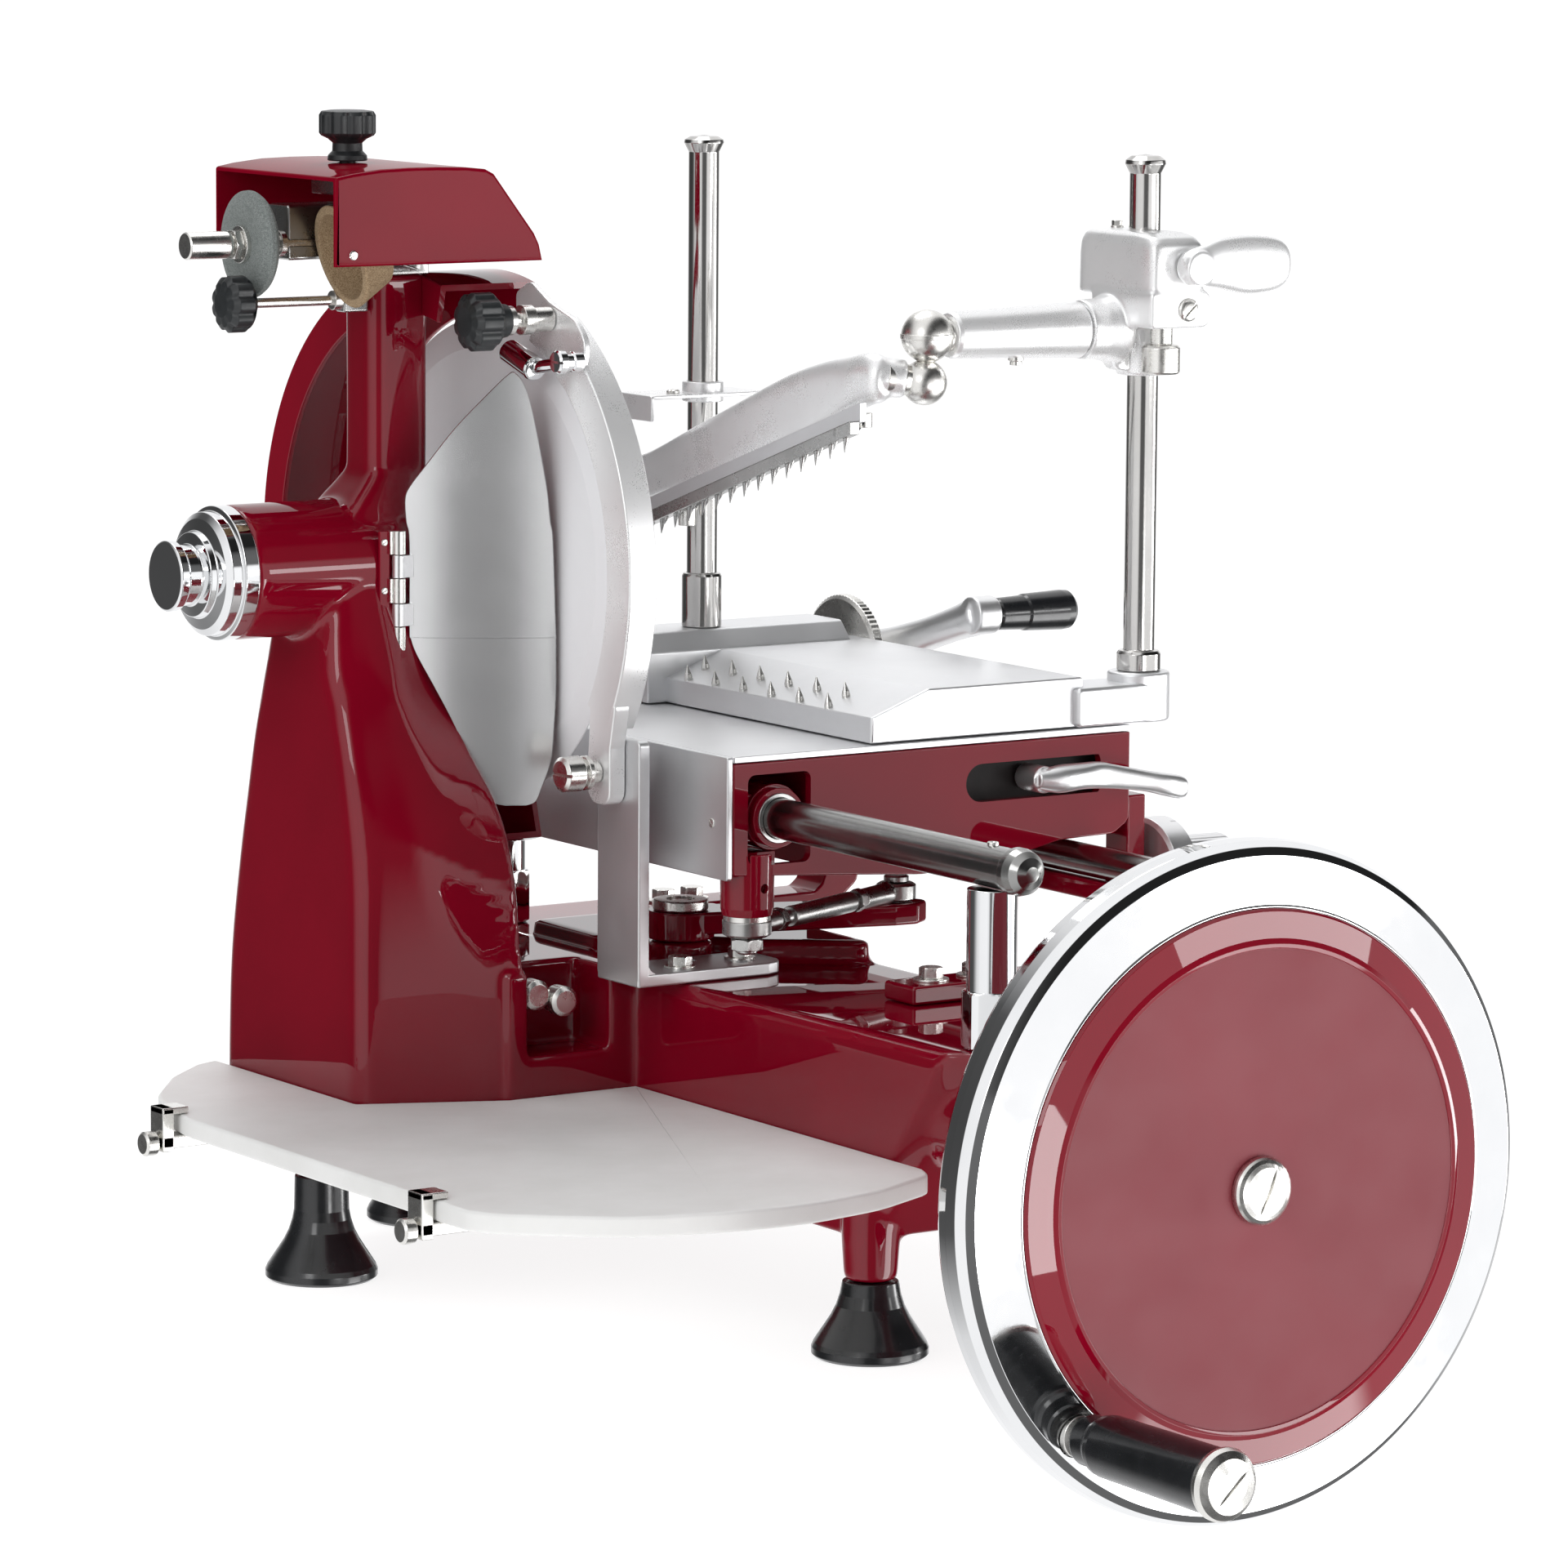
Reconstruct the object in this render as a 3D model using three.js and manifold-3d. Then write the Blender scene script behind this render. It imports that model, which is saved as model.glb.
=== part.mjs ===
// Hand-cranked meat slicer with flywheel. Millimetres, +Z up.
// X = 0 is the blade's plane, Y = 0 and Z = 448 its axis, Z = 0 the plane under the feet.
// -Y is the flywheel side, -X the hub-cap side, +X the meat-table side.
import * as THREE from "three";
import { mergeVertices } from "three/addons/utils/BufferGeometryUtils.js";
import Module from "manifold-3d";

const wasm = await Module();
wasm.setup();

// ---------------------------------------------------------------- dimensions
const BLADE_R = 150;            // 300 mm blade
const AXIS_Z = 448;             // blade axis height
const SHAFT_X = 79;             // flywheel shaft, along Y
const SHAFT_Z = 154;
const WHEEL_R = 195;            // flywheel outer radius
const WHEEL_BACK = -658;        // rim's rear face, Y
const WHEEL_FRONT = -682;       // rim's front edge, Y
const DISC_R = 158;             // red disc in the wheel
const GRIP_X = -38;             // crank grip axis
const GRIP_Z = 27;
const ROD_X = 70;               // main guide rod of the carriage
const ROD_Z = 305;
const ROD_R = 12.5;
const RAIL_X = 296;             // second rail
const RAIL_Z = 263;
const ROCKER = [79, -103];      // drive arm's vertical pivot
const STUD = [55, -215];        // connecting rod's stud under the carriage
const PIN = [214, -145];        // connecting rod's far end
const POST_R = [350, -215];     // right clamp post of the table
const POST_L = [180, 30];       // left post of the table
const FEED = [47, 359];         // feed screw axis (Y, Z)
const BASE_TOP = 197;
const BASE_LOW = 72;
const FEET = { foot_column: [-121, 0], foot_front_left: [46, -365], foot_front_right: [179, -365], foot_rear_left: [26, 126], foot_rear_right: [179, 135] };

// ---------------------------------------------------------------- helpers
function tidy(geometry) {
  let g = geometry.index ? geometry.toNonIndexed() : geometry.clone();
  for (const key of Object.keys(g.attributes)) if (key !== "position") g.deleteAttribute(key);
  g = mergeVertices(g, 1e-4);
  const p = g.attributes.position.array;
  const a = g.index.array;
  let t = [];
  let volume = 0;
  for (let i = 0; i < a.length; i += 3) {
    const [i0, i1, i2] = [a[i], a[i + 1], a[i + 2]];
    if (i0 === i1 || i1 === i2 || i0 === i2) continue;
    t.push(i0, i1, i2);
    const A = new THREE.Vector3().fromArray(p, i0 * 3);
    const B = new THREE.Vector3().fromArray(p, i1 * 3);
    const C = new THREE.Vector3().fromArray(p, i2 * 3);
    volume += A.dot(B.cross(C));
  }
  if (volume < 0) for (let i = 0; i < t.length; i += 3) [t[i], t[i + 1]] = [t[i + 1], t[i]];
  return { p, t };
}
function solid(geometry) {
  const { p, t } = tidy(geometry);
  return new wasm.Manifold(new wasm.Mesh({ numProp: 3, vertProperties: new Float32Array(p), triVerts: new Uint32Array(t) }));
}
const FACETS = 0.66;             // share of the asked segments that round shapes get
const round = (n) => Math.max(10, 2 * Math.round((n * FACETS) / 2));
const add = (first, ...rest) => rest.reduce((s, r) => s.add(r), first);
const cut = (first, ...rest) => rest.reduce((s, r) => s.subtract(r), first);

function box(x0, x1, y0, y1, z0, z1) {
  const g = new THREE.BoxGeometry(x1 - x0, y1 - y0, z1 - z0);
  g.translate((x0 + x1) / 2, (y0 + y1) / 2, (z0 + z1) / 2);
  return solid(g);
}
// a solid through rings of equal point count, flat at both ends
function loft(rings) {
  const n = rings[0].length;
  const pos = [];
  const idx = [];
  for (const r of rings) for (const q of r) pos.push(...q);
  for (let k = 0; k + 1 < rings.length; k++) {
    for (let i = 0; i < n; i++) {
      const j = (i + 1) % n;
      const [a, b, c, d] = [k * n + i, k * n + j, (k + 1) * n + i, (k + 1) * n + j];
      idx.push(a, b, d, a, d, c);
    }
  }
  const cap = (ring, offset, flip) => {
    const normal = new THREE.Vector3();
    for (let i = 0; i < n; i++) {
      const [a, b] = [ring[i], ring[(i + 1) % n]];
      normal.x += (a[1] - b[1]) * (a[2] + b[2]);
      normal.y += (a[2] - b[2]) * (a[0] + b[0]);
      normal.z += (a[0] - b[0]) * (a[1] + b[1]);
    }
    normal.normalize();
    const helper = Math.abs(normal.x) < 0.8 ? new THREE.Vector3(1, 0, 0) : new THREE.Vector3(0, 1, 0);
    const u = helper.clone().cross(normal).normalize();
    const v = normal.clone().cross(u);
    const flat = ring.map((q) => {
      const w = new THREE.Vector3(...q);
      return new THREE.Vector2(w.dot(u), w.dot(v));
    });
    for (const f of THREE.ShapeUtils.triangulateShape(flat, [])) {
      if (flip) idx.push(offset + f[2], offset + f[1], offset + f[0]);
      else idx.push(offset + f[0], offset + f[1], offset + f[2]);
    }
  };
  cap(rings[0], 0, true);
  cap(rings[rings.length - 1], (rings.length - 1) * n, false);
  const g = new THREE.BufferGeometry();
  g.setAttribute("position", new THREE.Float32BufferAttribute(pos, 3));
  g.setIndex(idx);
  return solid(g);
}
const place = (axis, a, u, v) => (axis === "x" ? [a, u, v] : axis === "y" ? [u, a, v] : [u, v, a]);
// a flat outline pushed along an axis
function prism(axis, outline, a0, a1) {
  return loft([a0, a1].map((a) => outline.map(([u, v]) => place(axis, a, u, v))));
}
// a turned shape: profile of [position along the axis, radius], centre [u, v]
function turn(axis, centre, profile, segments = 32) {
  const points = profile.map(([a, r]) => new THREE.Vector2(r, a));
  const g = new THREE.LatheGeometry(points, round(segments));
  if (axis === "z") g.rotateX(Math.PI / 2);
  if (axis === "x") g.rotateZ(-Math.PI / 2);
  if (axis === "x") g.translate(0, centre[0], centre[1]);
  if (axis === "y") g.translate(centre[0], 0, centre[1]);
  if (axis === "z") g.translate(centre[0], centre[1], 0);
  return solid(g);
}
function rod(axis, centre, a0, a1, r, segments = 24) {
  return turn(axis, centre, [[a0, 0], [a0, r], [a1, r], [a1, 0]], segments);
}
function tube(axis, centre, a0, a1, r0, r1, segments = 28) {
  return turn(axis, centre, [[a0, r0], [a0, r1], [a1, r1], [a1, r0], [a0, r0]], segments);
}
// a straight round bar between two points
function bar(p0, p1, r0, r1 = r0, segments = 16) {
  const a = new THREE.Vector3(...p0);
  const b = new THREE.Vector3(...p1);
  const g = new THREE.CylinderGeometry(r1, r0, a.distanceTo(b), segments > 8 ? round(segments) : 6);
  g.translate(0, a.distanceTo(b) / 2, 0);
  g.applyQuaternion(new THREE.Quaternion().setFromUnitVectors(new THREE.Vector3(0, 1, 0), b.clone().sub(a).normalize()));
  g.translate(...p0);
  return solid(g);
}
function ball(c, r, w = 20, h = 12) {
  const g = new THREE.SphereGeometry(r, round(w), 8);
  g.translate(...c);
  return solid(g);
}
// a section of [x, r] points swept about the blade axis; angles in degrees from +Z towards +Y
function arc(section, from, to, steps) {
  const rings = [];
  for (let k = 0; k <= steps; k++) {
    const t = ((from + ((to - from) * k) / steps) * Math.PI) / 180;
    rings.push(section.map(([x, r]) => [x, r * Math.sin(t), AXIS_Z + r * Math.cos(t)]));
  }
  return loft(rings);
}
// bevel gear blank with straight teeth; pitch radius at the outer plane, apex distance along the axis
function bevel(axis, centre, apex, side, pitch, distance, teeth, tip, root, keep, phase) {
  const outline = (k) => {
    const ring = [];
    for (let i = 0; i < teeth; i++) {
      const step = (2 * Math.PI) / teeth;
      for (const [f, r] of [[-0.27, root], [-0.13, tip], [0.13, tip], [0.27, root]]) {
        const t = (i + phase + f) * step;
        ring.push([(pitch + r) * k * Math.cos(t), (pitch + r) * k * Math.sin(t)]);
      }
    }
    return ring;
  };
  return loft([1, keep].map((k) => outline(k).map(([u, v]) => place(axis, apex + side * distance * k, centre[0] + u, centre[1] + v))));
}
function hex(axis, centre, a0, a1, across, turned = 0) {
  const r = across / 2 / Math.cos(Math.PI / 6);
  const o = [];
  for (let i = 0; i < 6; i++) o.push([centre[0] + r * Math.cos((i / 6) * 2 * Math.PI + turned), centre[1] + r * Math.sin((i / 6) * 2 * Math.PI + turned)]);
  return prism(axis, o, a0, a1);
}

const MATERIALS = {
  red_enamel: [0x8f0a18, 0.22, 0.1],
  chrome: [0xd8dadd, 0.12, 1.0],
  aluminium: [0xc9ccd0, 0.38, 0.9],
  steel: [0x9a9ca0, 0.35, 0.95],
  black_plastic: [0x101113, 0.25, 0.0],
  white_board: [0xf1f1ee, 0.55, 0.0],
  stone: [0x6f7478, 0.95, 0.0],
  stone_brown: [0x8a6a44, 0.95, 0.0],
  disc_enamel: [0x8c3b46, 0.5, 0.1],
};
const object = new THREE.Group();
object.name = "meat_slicer";
const made = {};
for (const [slot, [color, roughness, metalness]] of Object.entries(MATERIALS)) {
  made[slot] = new THREE.MeshStandardMaterial({ color, roughness, metalness });
  made[slot].name = slot;
}
function node(name, slot, shape) {
  const m = shape.getMesh();
  const flat = [];
  for (const i of m.triVerts) flat.push(m.vertProperties[i * m.numProp], m.vertProperties[i * m.numProp + 1], m.vertProperties[i * m.numProp + 2]);
  const g = new THREE.BufferGeometry();
  g.setAttribute("position", new THREE.Float32BufferAttribute(flat, 3));
  g.computeVertexNormals();
  const mesh = new THREE.Mesh(g, made[slot]);
  mesh.name = name;
  object.add(mesh);
}

// ---------------------------------------------------------------- base casting
{
  // height, left x and half width, middle x and half width, right x and half width
  const rows = [
    [72, -144, 84, -52, 122, -30, 122], [150, -144, 83, -60, 112, -42, 118], [205, -144, 79, -60, 104, -46, 116],
    [262, -144, 68, -64, 86, -46, 95], [300, -144, 59, -66, 72, -46, 80], [338, -144, 50, -72, 57, -56, 58],
    [365, -142, 43, -80, 47, -60, 44], [392, -140, 37, -88, 38, -62, 36], [448, -132, 33, -88, 34, -60, 28],
    [480, -118, 28, -78, 27, -57, 24], [505, -97, 21, -70, 21, -55.5, 20.5], [515, -95, 20, -70, 20.4, -55, 20], [628, -95, 20, -70, 20.4, -55, 20],
  ];
  const column = loft(rows.map(([z, xl, yl, xm, ym, xr, yr]) => [[xl, -yl, z], [xm, -ym, z], [xr, -yr, z], [xr, yr, z], [xm, ym, z], [xl, yl, z]]));
  const shoulder = prism("y", [[-58, BASE_LOW], [40, BASE_LOW], [40, 203], [-58, 203]], -122, 122);
  const plan = (x0, x1, y0, y1, c, z) => [[x0 + c, y0, z], [x1 - c, y0, z], [x1, y0 + c, z], [x1, y1 - c, z], [x1 - c, y1, z], [x0 + c, y1, z], [x0, y1 - c, z], [x0, y0 + c, z]];
  const beam = loft([plan(35, 190, -374, 146, 12, BASE_LOW), plan(35, 190, -374, 146, 12, BASE_TOP - 8), plan(39, 186, -370, 142, 12, BASE_TOP)]);
  const snout = loft([plan(35, 123, -374, -250, 10, BASE_LOW), plan(35, 123, -420, -250, 14, 130), plan(35, 123, -462, -250, 16, BASE_TOP - 8), plan(40, 118, -470, -250, 16, BASE_TOP)]);
  const nose = turn("y", [SHAFT_X, SHAFT_Z], [[-474, 0], [-474, 34], [-400, 36], [-400, 0]], 32);
  const plateau = prism("z", [[44, -60], [60, -84], [100, -100], [122, -128], [176, -168], [184, -160], [184, 20], [44, 20]], BASE_TOP - 4, 211);
  const pivot = rod("z", ROCKER, 185, 212.5, 19, 28);
  const hub = add(rod("x", [0, AXIS_Z], -186, -80, 41, 40), rod("x", [0, AXIS_Z], -81, -14, 38, 40));
  let body = add(column, shoulder, beam, snout, nose, plateau, pivot, hub);
  for (const [name, [x, y]] of Object.entries(FEET)) {
    const low = name === "foot_column" ? 66 : 46.3;
    body = add(body, turn("z", [x, y], [[low, 0], [low, 15.5], [BASE_LOW + 2, 17.5], [BASE_LOW + 38, 17.5], [BASE_LOW + 38, 0]], 24));
  }
  // hollow inside, open below
  const hole = (z, xl, yl, xr, yr) => [[xl, -yl, z], [xr, -yr, z], [xr, yr, z], [xl, yl, z]];
  const inside = loft([hole(66, -137, 76, -53, 104), hole(205, -137, 70, -53, 92), hole(300, -136, 51, -53, 62), hole(365, -133, 36, -66, 38), hole(392, -130, 31, -67, 30), hole(420, -126, 28, -67, 27), hole(470, -112, 27.6, -67, 27.6)]);
  body = cut(
    body, inside,
    box(-53.5, 36, -114, 114, 60, 145), box(-53.5, 36, -72, 72, 60, 190), box(30, 45, -72, 72, 60, 190),
    loft([plan(41, 184, -368, 140, 16, 60), plan(41, 184, -368, 140, 16, 190)]),
    rod("y", [SHAFT_X, SHAFT_Z], -520, -360, 17, 24),
    rod("x", [0, AXIS_Z], -190, -10, 33, 36),
    rod("z", ROCKER, 150, 230, 9.4, 24),
    box(-44, 15, -130, -80, 151, 210),
  );
  // posts for the feet and the lay shaft's left bearing stay inside the hollow
  for (const [name, [x, y]] of Object.entries(FEET)) {
    const low = name === "foot_column" ? 66 : 46.3;
    body = add(body, turn("z", [x, y], [[low, 0], [low, 15.5], [BASE_LOW + 2, 17.5], [BASE_LOW + 30, 17.5], [BASE_LOW + 30, 0]], 24));
    body = cut(body, rod("z", [x, y], 30, BASE_LOW + 22, 5.4, 16));
  }
  body = add(body, rod("x", [0, SHAFT_Z], -140, -106, 16, 24), box(10, 103, -60, -50, 122, 191), box(10, 20, -60, 24, 126, 191));
  body = cut(body, rod("x", [0, SHAFT_Z], -130, -100, 8.4, 24), rod("y", [SHAFT_X, SHAFT_Z], -70, -40, 10.3, 24), rod("x", [0, SHAFT_Z], 0, 30, 8.3, 20));
  node("base_casting", "red_enamel", body);
}
for (const [name, [x, y]] of Object.entries(FEET)) {
  const top = name === "foot_column" ? 65.7 : 46;
  node(name, "black_plastic", add(
    turn("z", [x, y], [[0, 0], [0, 33.5], [1.5, 35.3], [6.5, 35.3], [9, 31], [16, 23.5], [26, 18.5], [36, 16.8], [top, 16.3], [top, 0]], 28),
    rod("z", [x, y], top - 2, BASE_LOW + 20, 5, 12)));
}

// ---------------------------------------------------------------- blade, hub and guards
node("hub_cap", "chrome", turn("x", [0, AXIS_Z], [[-186.3, 0], [-186.3, 41.5], [-196, 41.5], [-197, 38], [-203, 38], [-206, 34], [-208, 27], [-212, 26], [-213.5, 19], [-222, 19], [-224, 21.6], [-229, 21.8], [-230, 20], [-230, 0]], 40));
node("hub_bearing", "steel", tube("x", [0, AXIS_Z], -36, -16, 10.3, 32.6, 28));
node("blade", "chrome", turn("x", [0, AXIS_Z], [[-5, 13.3], [-5, 60], [-2.2, 66], [-2.2, 132], [1.6, BLADE_R - 0.5], [2.2, BLADE_R], [2.4, BLADE_R - 0.5], [0.6, 120], [0.6, 60], [3, 56], [3, 13.3], [-5, 13.3]], 72));
{
  let shaft = add(turn("x", [0, AXIS_Z], [[-183, 0], [-183, 10], [-12, 10], [-12, 34], [-5.4, 34], [-5.4, 13], [4, 13], [4, 24], [9, 22], [11, 14], [11, 0]], 32));
  const ring = [];
  for (let i = 0; i < 16; i++) for (const [f, r] of [[-0.3, 18.5], [-0.12, 22.5], [0.12, 22.5], [0.3, 18.5]]) ring.push([r * Math.cos(((i + f) * Math.PI) / 8), AXIS_Z + r * Math.sin(((i + f) * Math.PI) / 8)]);
  shaft = add(shaft, prism("x", ring, -77.5, -72.5));
  node("blade_shaft", "steel", shaft);
}
{
  // red channel behind and over the blade's rear half
  const outer = arc([[-60, 176], [8, 176], [8, 180], [-60, 180]], -14, 197, 26);
  const left = arc([[-60, 156], [-56, 156], [-56, 178], [-60, 178]], -14, 197, 26);
  const right = arc([[4.5, 154], [8, 154], [8, 178], [4.5, 178]], -14, 197, 26);
  node("rear_blade_guard", "red_enamel", cut(add(outer, left, right), box(-70, -54.6, -20.8, 20.8, 590, 640), box(-70, -45.6, -130, 130, 200, 352)));
}
{
  const section = [[-8, 152.5], [-3.2, 152.5], [-3.2, 173.5], [12, 173.5], [12, 179], [-8, 179]];
  const crescent = arc(section, -24, -121, 20);
  const ear = prism("x", [[-46, 600], [-46, 617], [-62, 625], [-85, 613], [-114, 604.5], [-128, 592], [-120, 568], [-100, 562], [-66, 590]], -8, -3.2);
  const leg = box(-8, 3.6, -157, -131.4, 309, 372);
  const knobhole = rod("x", [-87, 603], -20, 0, 5.4, 16);
  const nuthole = rod("x", [-143, 329], -20, 8, 5.4, 16);
  node("front_guard", "aluminium", cut(add(crescent, ear, leg), knobhole, nuthole));
}
node("guard_bracket", "aluminium", cut(
  add(box(4, 12, -172, -124, 197.4, 350), prism("z", [[4, -172], [100, -172], [110, -168], [115, -160], [115, -136], [110, -128], [100, -124], [4, -124]], 197.4, 205)),
  rod("x", [-143, 329], 0, 20, 5.4, 16)));
node("guard_knob", "black_plastic", add(
  turn("x", [-87, 603], [[-70, 0], [-70, 15], [-67, 18], [-50, 18], [-46, 14], [-36, 9], [-36, 0]], 20), rod("x", [-87, 603], -37, -3.5, 5, 14), turn("x", [-87, 603], [[-30, 0], [-30, 9], [-22, 9], [-22, 7.5], [-8.6, 7.5], [-8.6, 0]], 16)));
node("guard_nut", "chrome", add(turn("x", [-143, 329], [[-35, 0], [-35, 9], [-32, 11], [-22, 11], [-20, 7], [-8.5, 7], [-8.5, 0]], 18), rod("x", [-143, 329], -10, 15, 5, 12)));
node("guard_latch", "chrome", add(bar([-17.5, -86, 572], [-17.5, -54, 581.5], 8, 8, 16), bar([-17.5, -123, 579.5], [-17.5, -84, 573], 4, 4, 12), rod("x", [-123, 579.5], -27, -8.8, 6, 16)));
{
  // slice deflector: slightly bowed plate hinged on the column's corner
  const u = [0.853, -0.522];
  const n = [-0.522, -0.853];
  const at = (s, d) => [-88 + u[0] * s + n[0] * d, -40 + u[1] * s + n[1] * d];
  const edge = [[3.5, 492], [34, 536], [68, 571], [75, 565], [81, 553], [90, 508], [96, 447], [97, 386], [94, 330], [86, 307], [76, 302], [59, 307], [34, 352], [10.5, 396], [6, 410], [6, 466]];
  const bow = (s) => 5 * Math.sin((Math.PI * Math.min(s, 96)) / 97);
  const ring = (d) => edge.map(([s, z]) => { const [x, y] = at(s, d + bow(s)); return [x, y, z]; });
  const knuckle = (z0, z1) => add(rod("z", [-92, -46.6], z0, z1, 4.2, 14), prism("z", [[-92, -50.6], [-83, -49], [-80, -44.8], [-84, -43], [-91, -46]], z0, z1));
  node("slice_deflector", "aluminium", add(loft([ring(0.4), ring(3)]), knuckle(414, 428), knuckle(444, 458)));
  const fixed = (z0, z1) => add(rod("z", [-92, -46.6], z0, z1, 4.2, 14), box(-98, -90, -46.6, -41.7, z0, z1));
  node("deflector_hinge", "chrome", add(box(-104, -97, -44.4, -41.7, 399, 473), box(-104, -97.5, -43, -38.4, 399, 411), fixed(399, 413.6), fixed(428.4, 443.6), fixed(458.4, 473)));
}

// ---------------------------------------------------------------- drive train
{
  let shaft = rod("y", [SHAFT_X, SHAFT_Z], -696, -13, 10, 24);
  shaft = add(shaft, bevel("y", [SHAFT_X, SHAFT_Z], 0, -1, 32, 16, 24, 1.6, -2.6, 0.72, 0));
  shaft = add(shaft, rod("y", [SHAFT_X, SHAFT_Z], -30, -15.5, 16, 24), rod("y", [SHAFT_X, SHAFT_Z], -192, -172, 26, 28), bar([SHAFT_X, -190, SHAFT_Z - 17], [SHAFT_X, -204, SHAFT_Z - 17], 5));
  node("flywheel_shaft", "steel", shaft);
  let cross = rod("x", [0, SHAFT_Z], -126, 55, 8, 20);
  cross = add(cross, bevel("x", [0, SHAFT_Z], SHAFT_X, -1, 16, 32, 12, 0.8, -1.3, 0.72, 0.5), rod("x", [0, SHAFT_Z], 32, 47.5, 12, 20));
  const ring = [];
  for (let i = 0; i < 16; i++) for (const [f, r] of [[-0.3, 18.5], [-0.12, 22.5], [0.12, 22.5], [0.3, 18.5]]) ring.push([r * Math.cos(((i + f) * Math.PI) / 8), SHAFT_Z + r * Math.sin(((i + f) * Math.PI) / 8)]);
  cross = add(cross, prism("x", ring, -77.5, -72.5), rod("x", [0, SHAFT_Z], -92, -77, 13, 20));
  node("lay_shaft", "steel", cross);
  // roller chain as one closed band round both sprockets, running clear of them
  const loop = (r) => {
    const o = [];
    for (let i = 0; i <= 12; i++) o.push([r * Math.cos((i * Math.PI) / 12), AXIS_Z + r * Math.sin((i * Math.PI) / 12)]);
    for (let i = 12; i <= 24; i++) o.push([r * Math.cos((i * Math.PI) / 12), SHAFT_Z + r * Math.sin((i * Math.PI) / 12)]);
    return o;
  };
  node("drive_chain", "steel", cut(prism("x", loop(26.5), -79, -71), prism("x", loop(23), -82, -68)));
  node("shaft_housing", "red_enamel", cut(turn("y", [SHAFT_X, SHAFT_Z], [[-474.3, 0], [-474.3, 34], [-484, 34], [-486, 25], [-625, 21], [-625, 0]], 28), rod("y", [SHAFT_X, SHAFT_Z], -640, -460, 10.3, 24)));
}
node("flywheel_rim", "chrome", cut(turn("y", [SHAFT_X, SHAFT_Z], [[-686, DISC_R], [-694.5, DISC_R], [-683.5, 189], [-679, 194], [-671, WHEEL_R], [-662, 193], [WHEEL_BACK, 189], [WHEEL_BACK, 180], [-664, 174], [-672, DISC_R], [-686, DISC_R]], 72), rod("y", [GRIP_X, GRIP_Z], -700, -686, 12.5)));
node("flywheel_disc", "disc_enamel", turn("y", [SHAFT_X, SHAFT_Z], [[-640, 10.4], [-640, 26], [-676, 30], [-684, 60], [-682, 140], [-676, DISC_R - 0.4], [-695, DISC_R - 0.4], [-699, 136], [-699, 10.4], [-640, 10.4]], 64));
node("flywheel_screw", "chrome", turn("y", [SHAFT_X, SHAFT_Z], [[-699.4, 0], [-699.4, 19.5], [-703, 18.5], [-706.5, 13], [-708.5, 0]], 28));
node("handle_stud", "chrome", add(turn("y", [GRIP_X, GRIP_Z], [[-686.4, 0], [-686.4, 12], [-696, 12], [-698, 8], [-700, 5], [-821, 5], [-821, 20.4], [-825, 20.4], [-830, 16], [-833, 0]], 28)));
node("handle_grip", "black_plastic", turn("y", [GRIP_X, GRIP_Z], [[-700.6, 5.4], [-700.6, 14.5], [-716, 15.5], [-720, 17.5], [-815, 18.5], [-820.5, 18], [-820.5, 5.4], [-700.6, 5.4]], 28));

{
  // drive arm on its vertical pivot
  const d = new THREE.Vector2(PIN[0] - ROCKER[0], PIN[1] - ROCKER[1]);
  const length = d.length();
  d.normalize();
  const q = (s, w) => [ROCKER[0] + d.x * s - d.y * w, ROCKER[1] + d.y * s + d.x * w];
  const arm = prism("z", [q(0, -17), q(length - 4, -13.5), q(length + 12, -10), q(length + 22, 2), q(length + 14, 11), q(length - 4, 13.5), q(0, 17)], 217, 231);
  node("drive_arm", "red_enamel", cut(add(arm, rod("z", ROCKER, 213.5, 231, 21, 28)), rod("z", ROCKER, 200, 240, 9.3, 24)));
  node("drive_arm_shaft", "steel", add(rod("z", ROCKER, 168, 231.5, 9, 24), rod("z", ROCKER, 231.3, 238, 17.5, 28), prism("z", [[79, -112], [124, -110], [130, -103], [124, -96], [79, -94]], 169, 178)));
  // connecting rod from the carriage's stud to the arm's end
  const r = new THREE.Vector2(PIN[0] - STUD[0], PIN[1] - STUD[1]);
  const span = r.length();
  r.normalize();
  const at = (s, z) => [STUD[0] + r.x * s, STUD[1] + r.y * s, z];
  const link = add(
    rod("z", STUD, 232, 243, 15, 24), rod("z", PIN, 232, 243, 12.5, 24),
    bar(at(12, 237.5), at(52, 237.5), 6), bar(at(40, 237.5), at(span - 44, 237.5), 5), bar(at(span - 50, 237.5), at(span - 10, 237.5), 6),
    rod("z", PIN, 231.6, 248, 6, 16));
  node("connecting_rod", "chrome", add(link, rod("z", STUD, 221, 244.6, 6.5, 18), hex("z", STUD, 223, 232.5, 19)));
}

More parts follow.
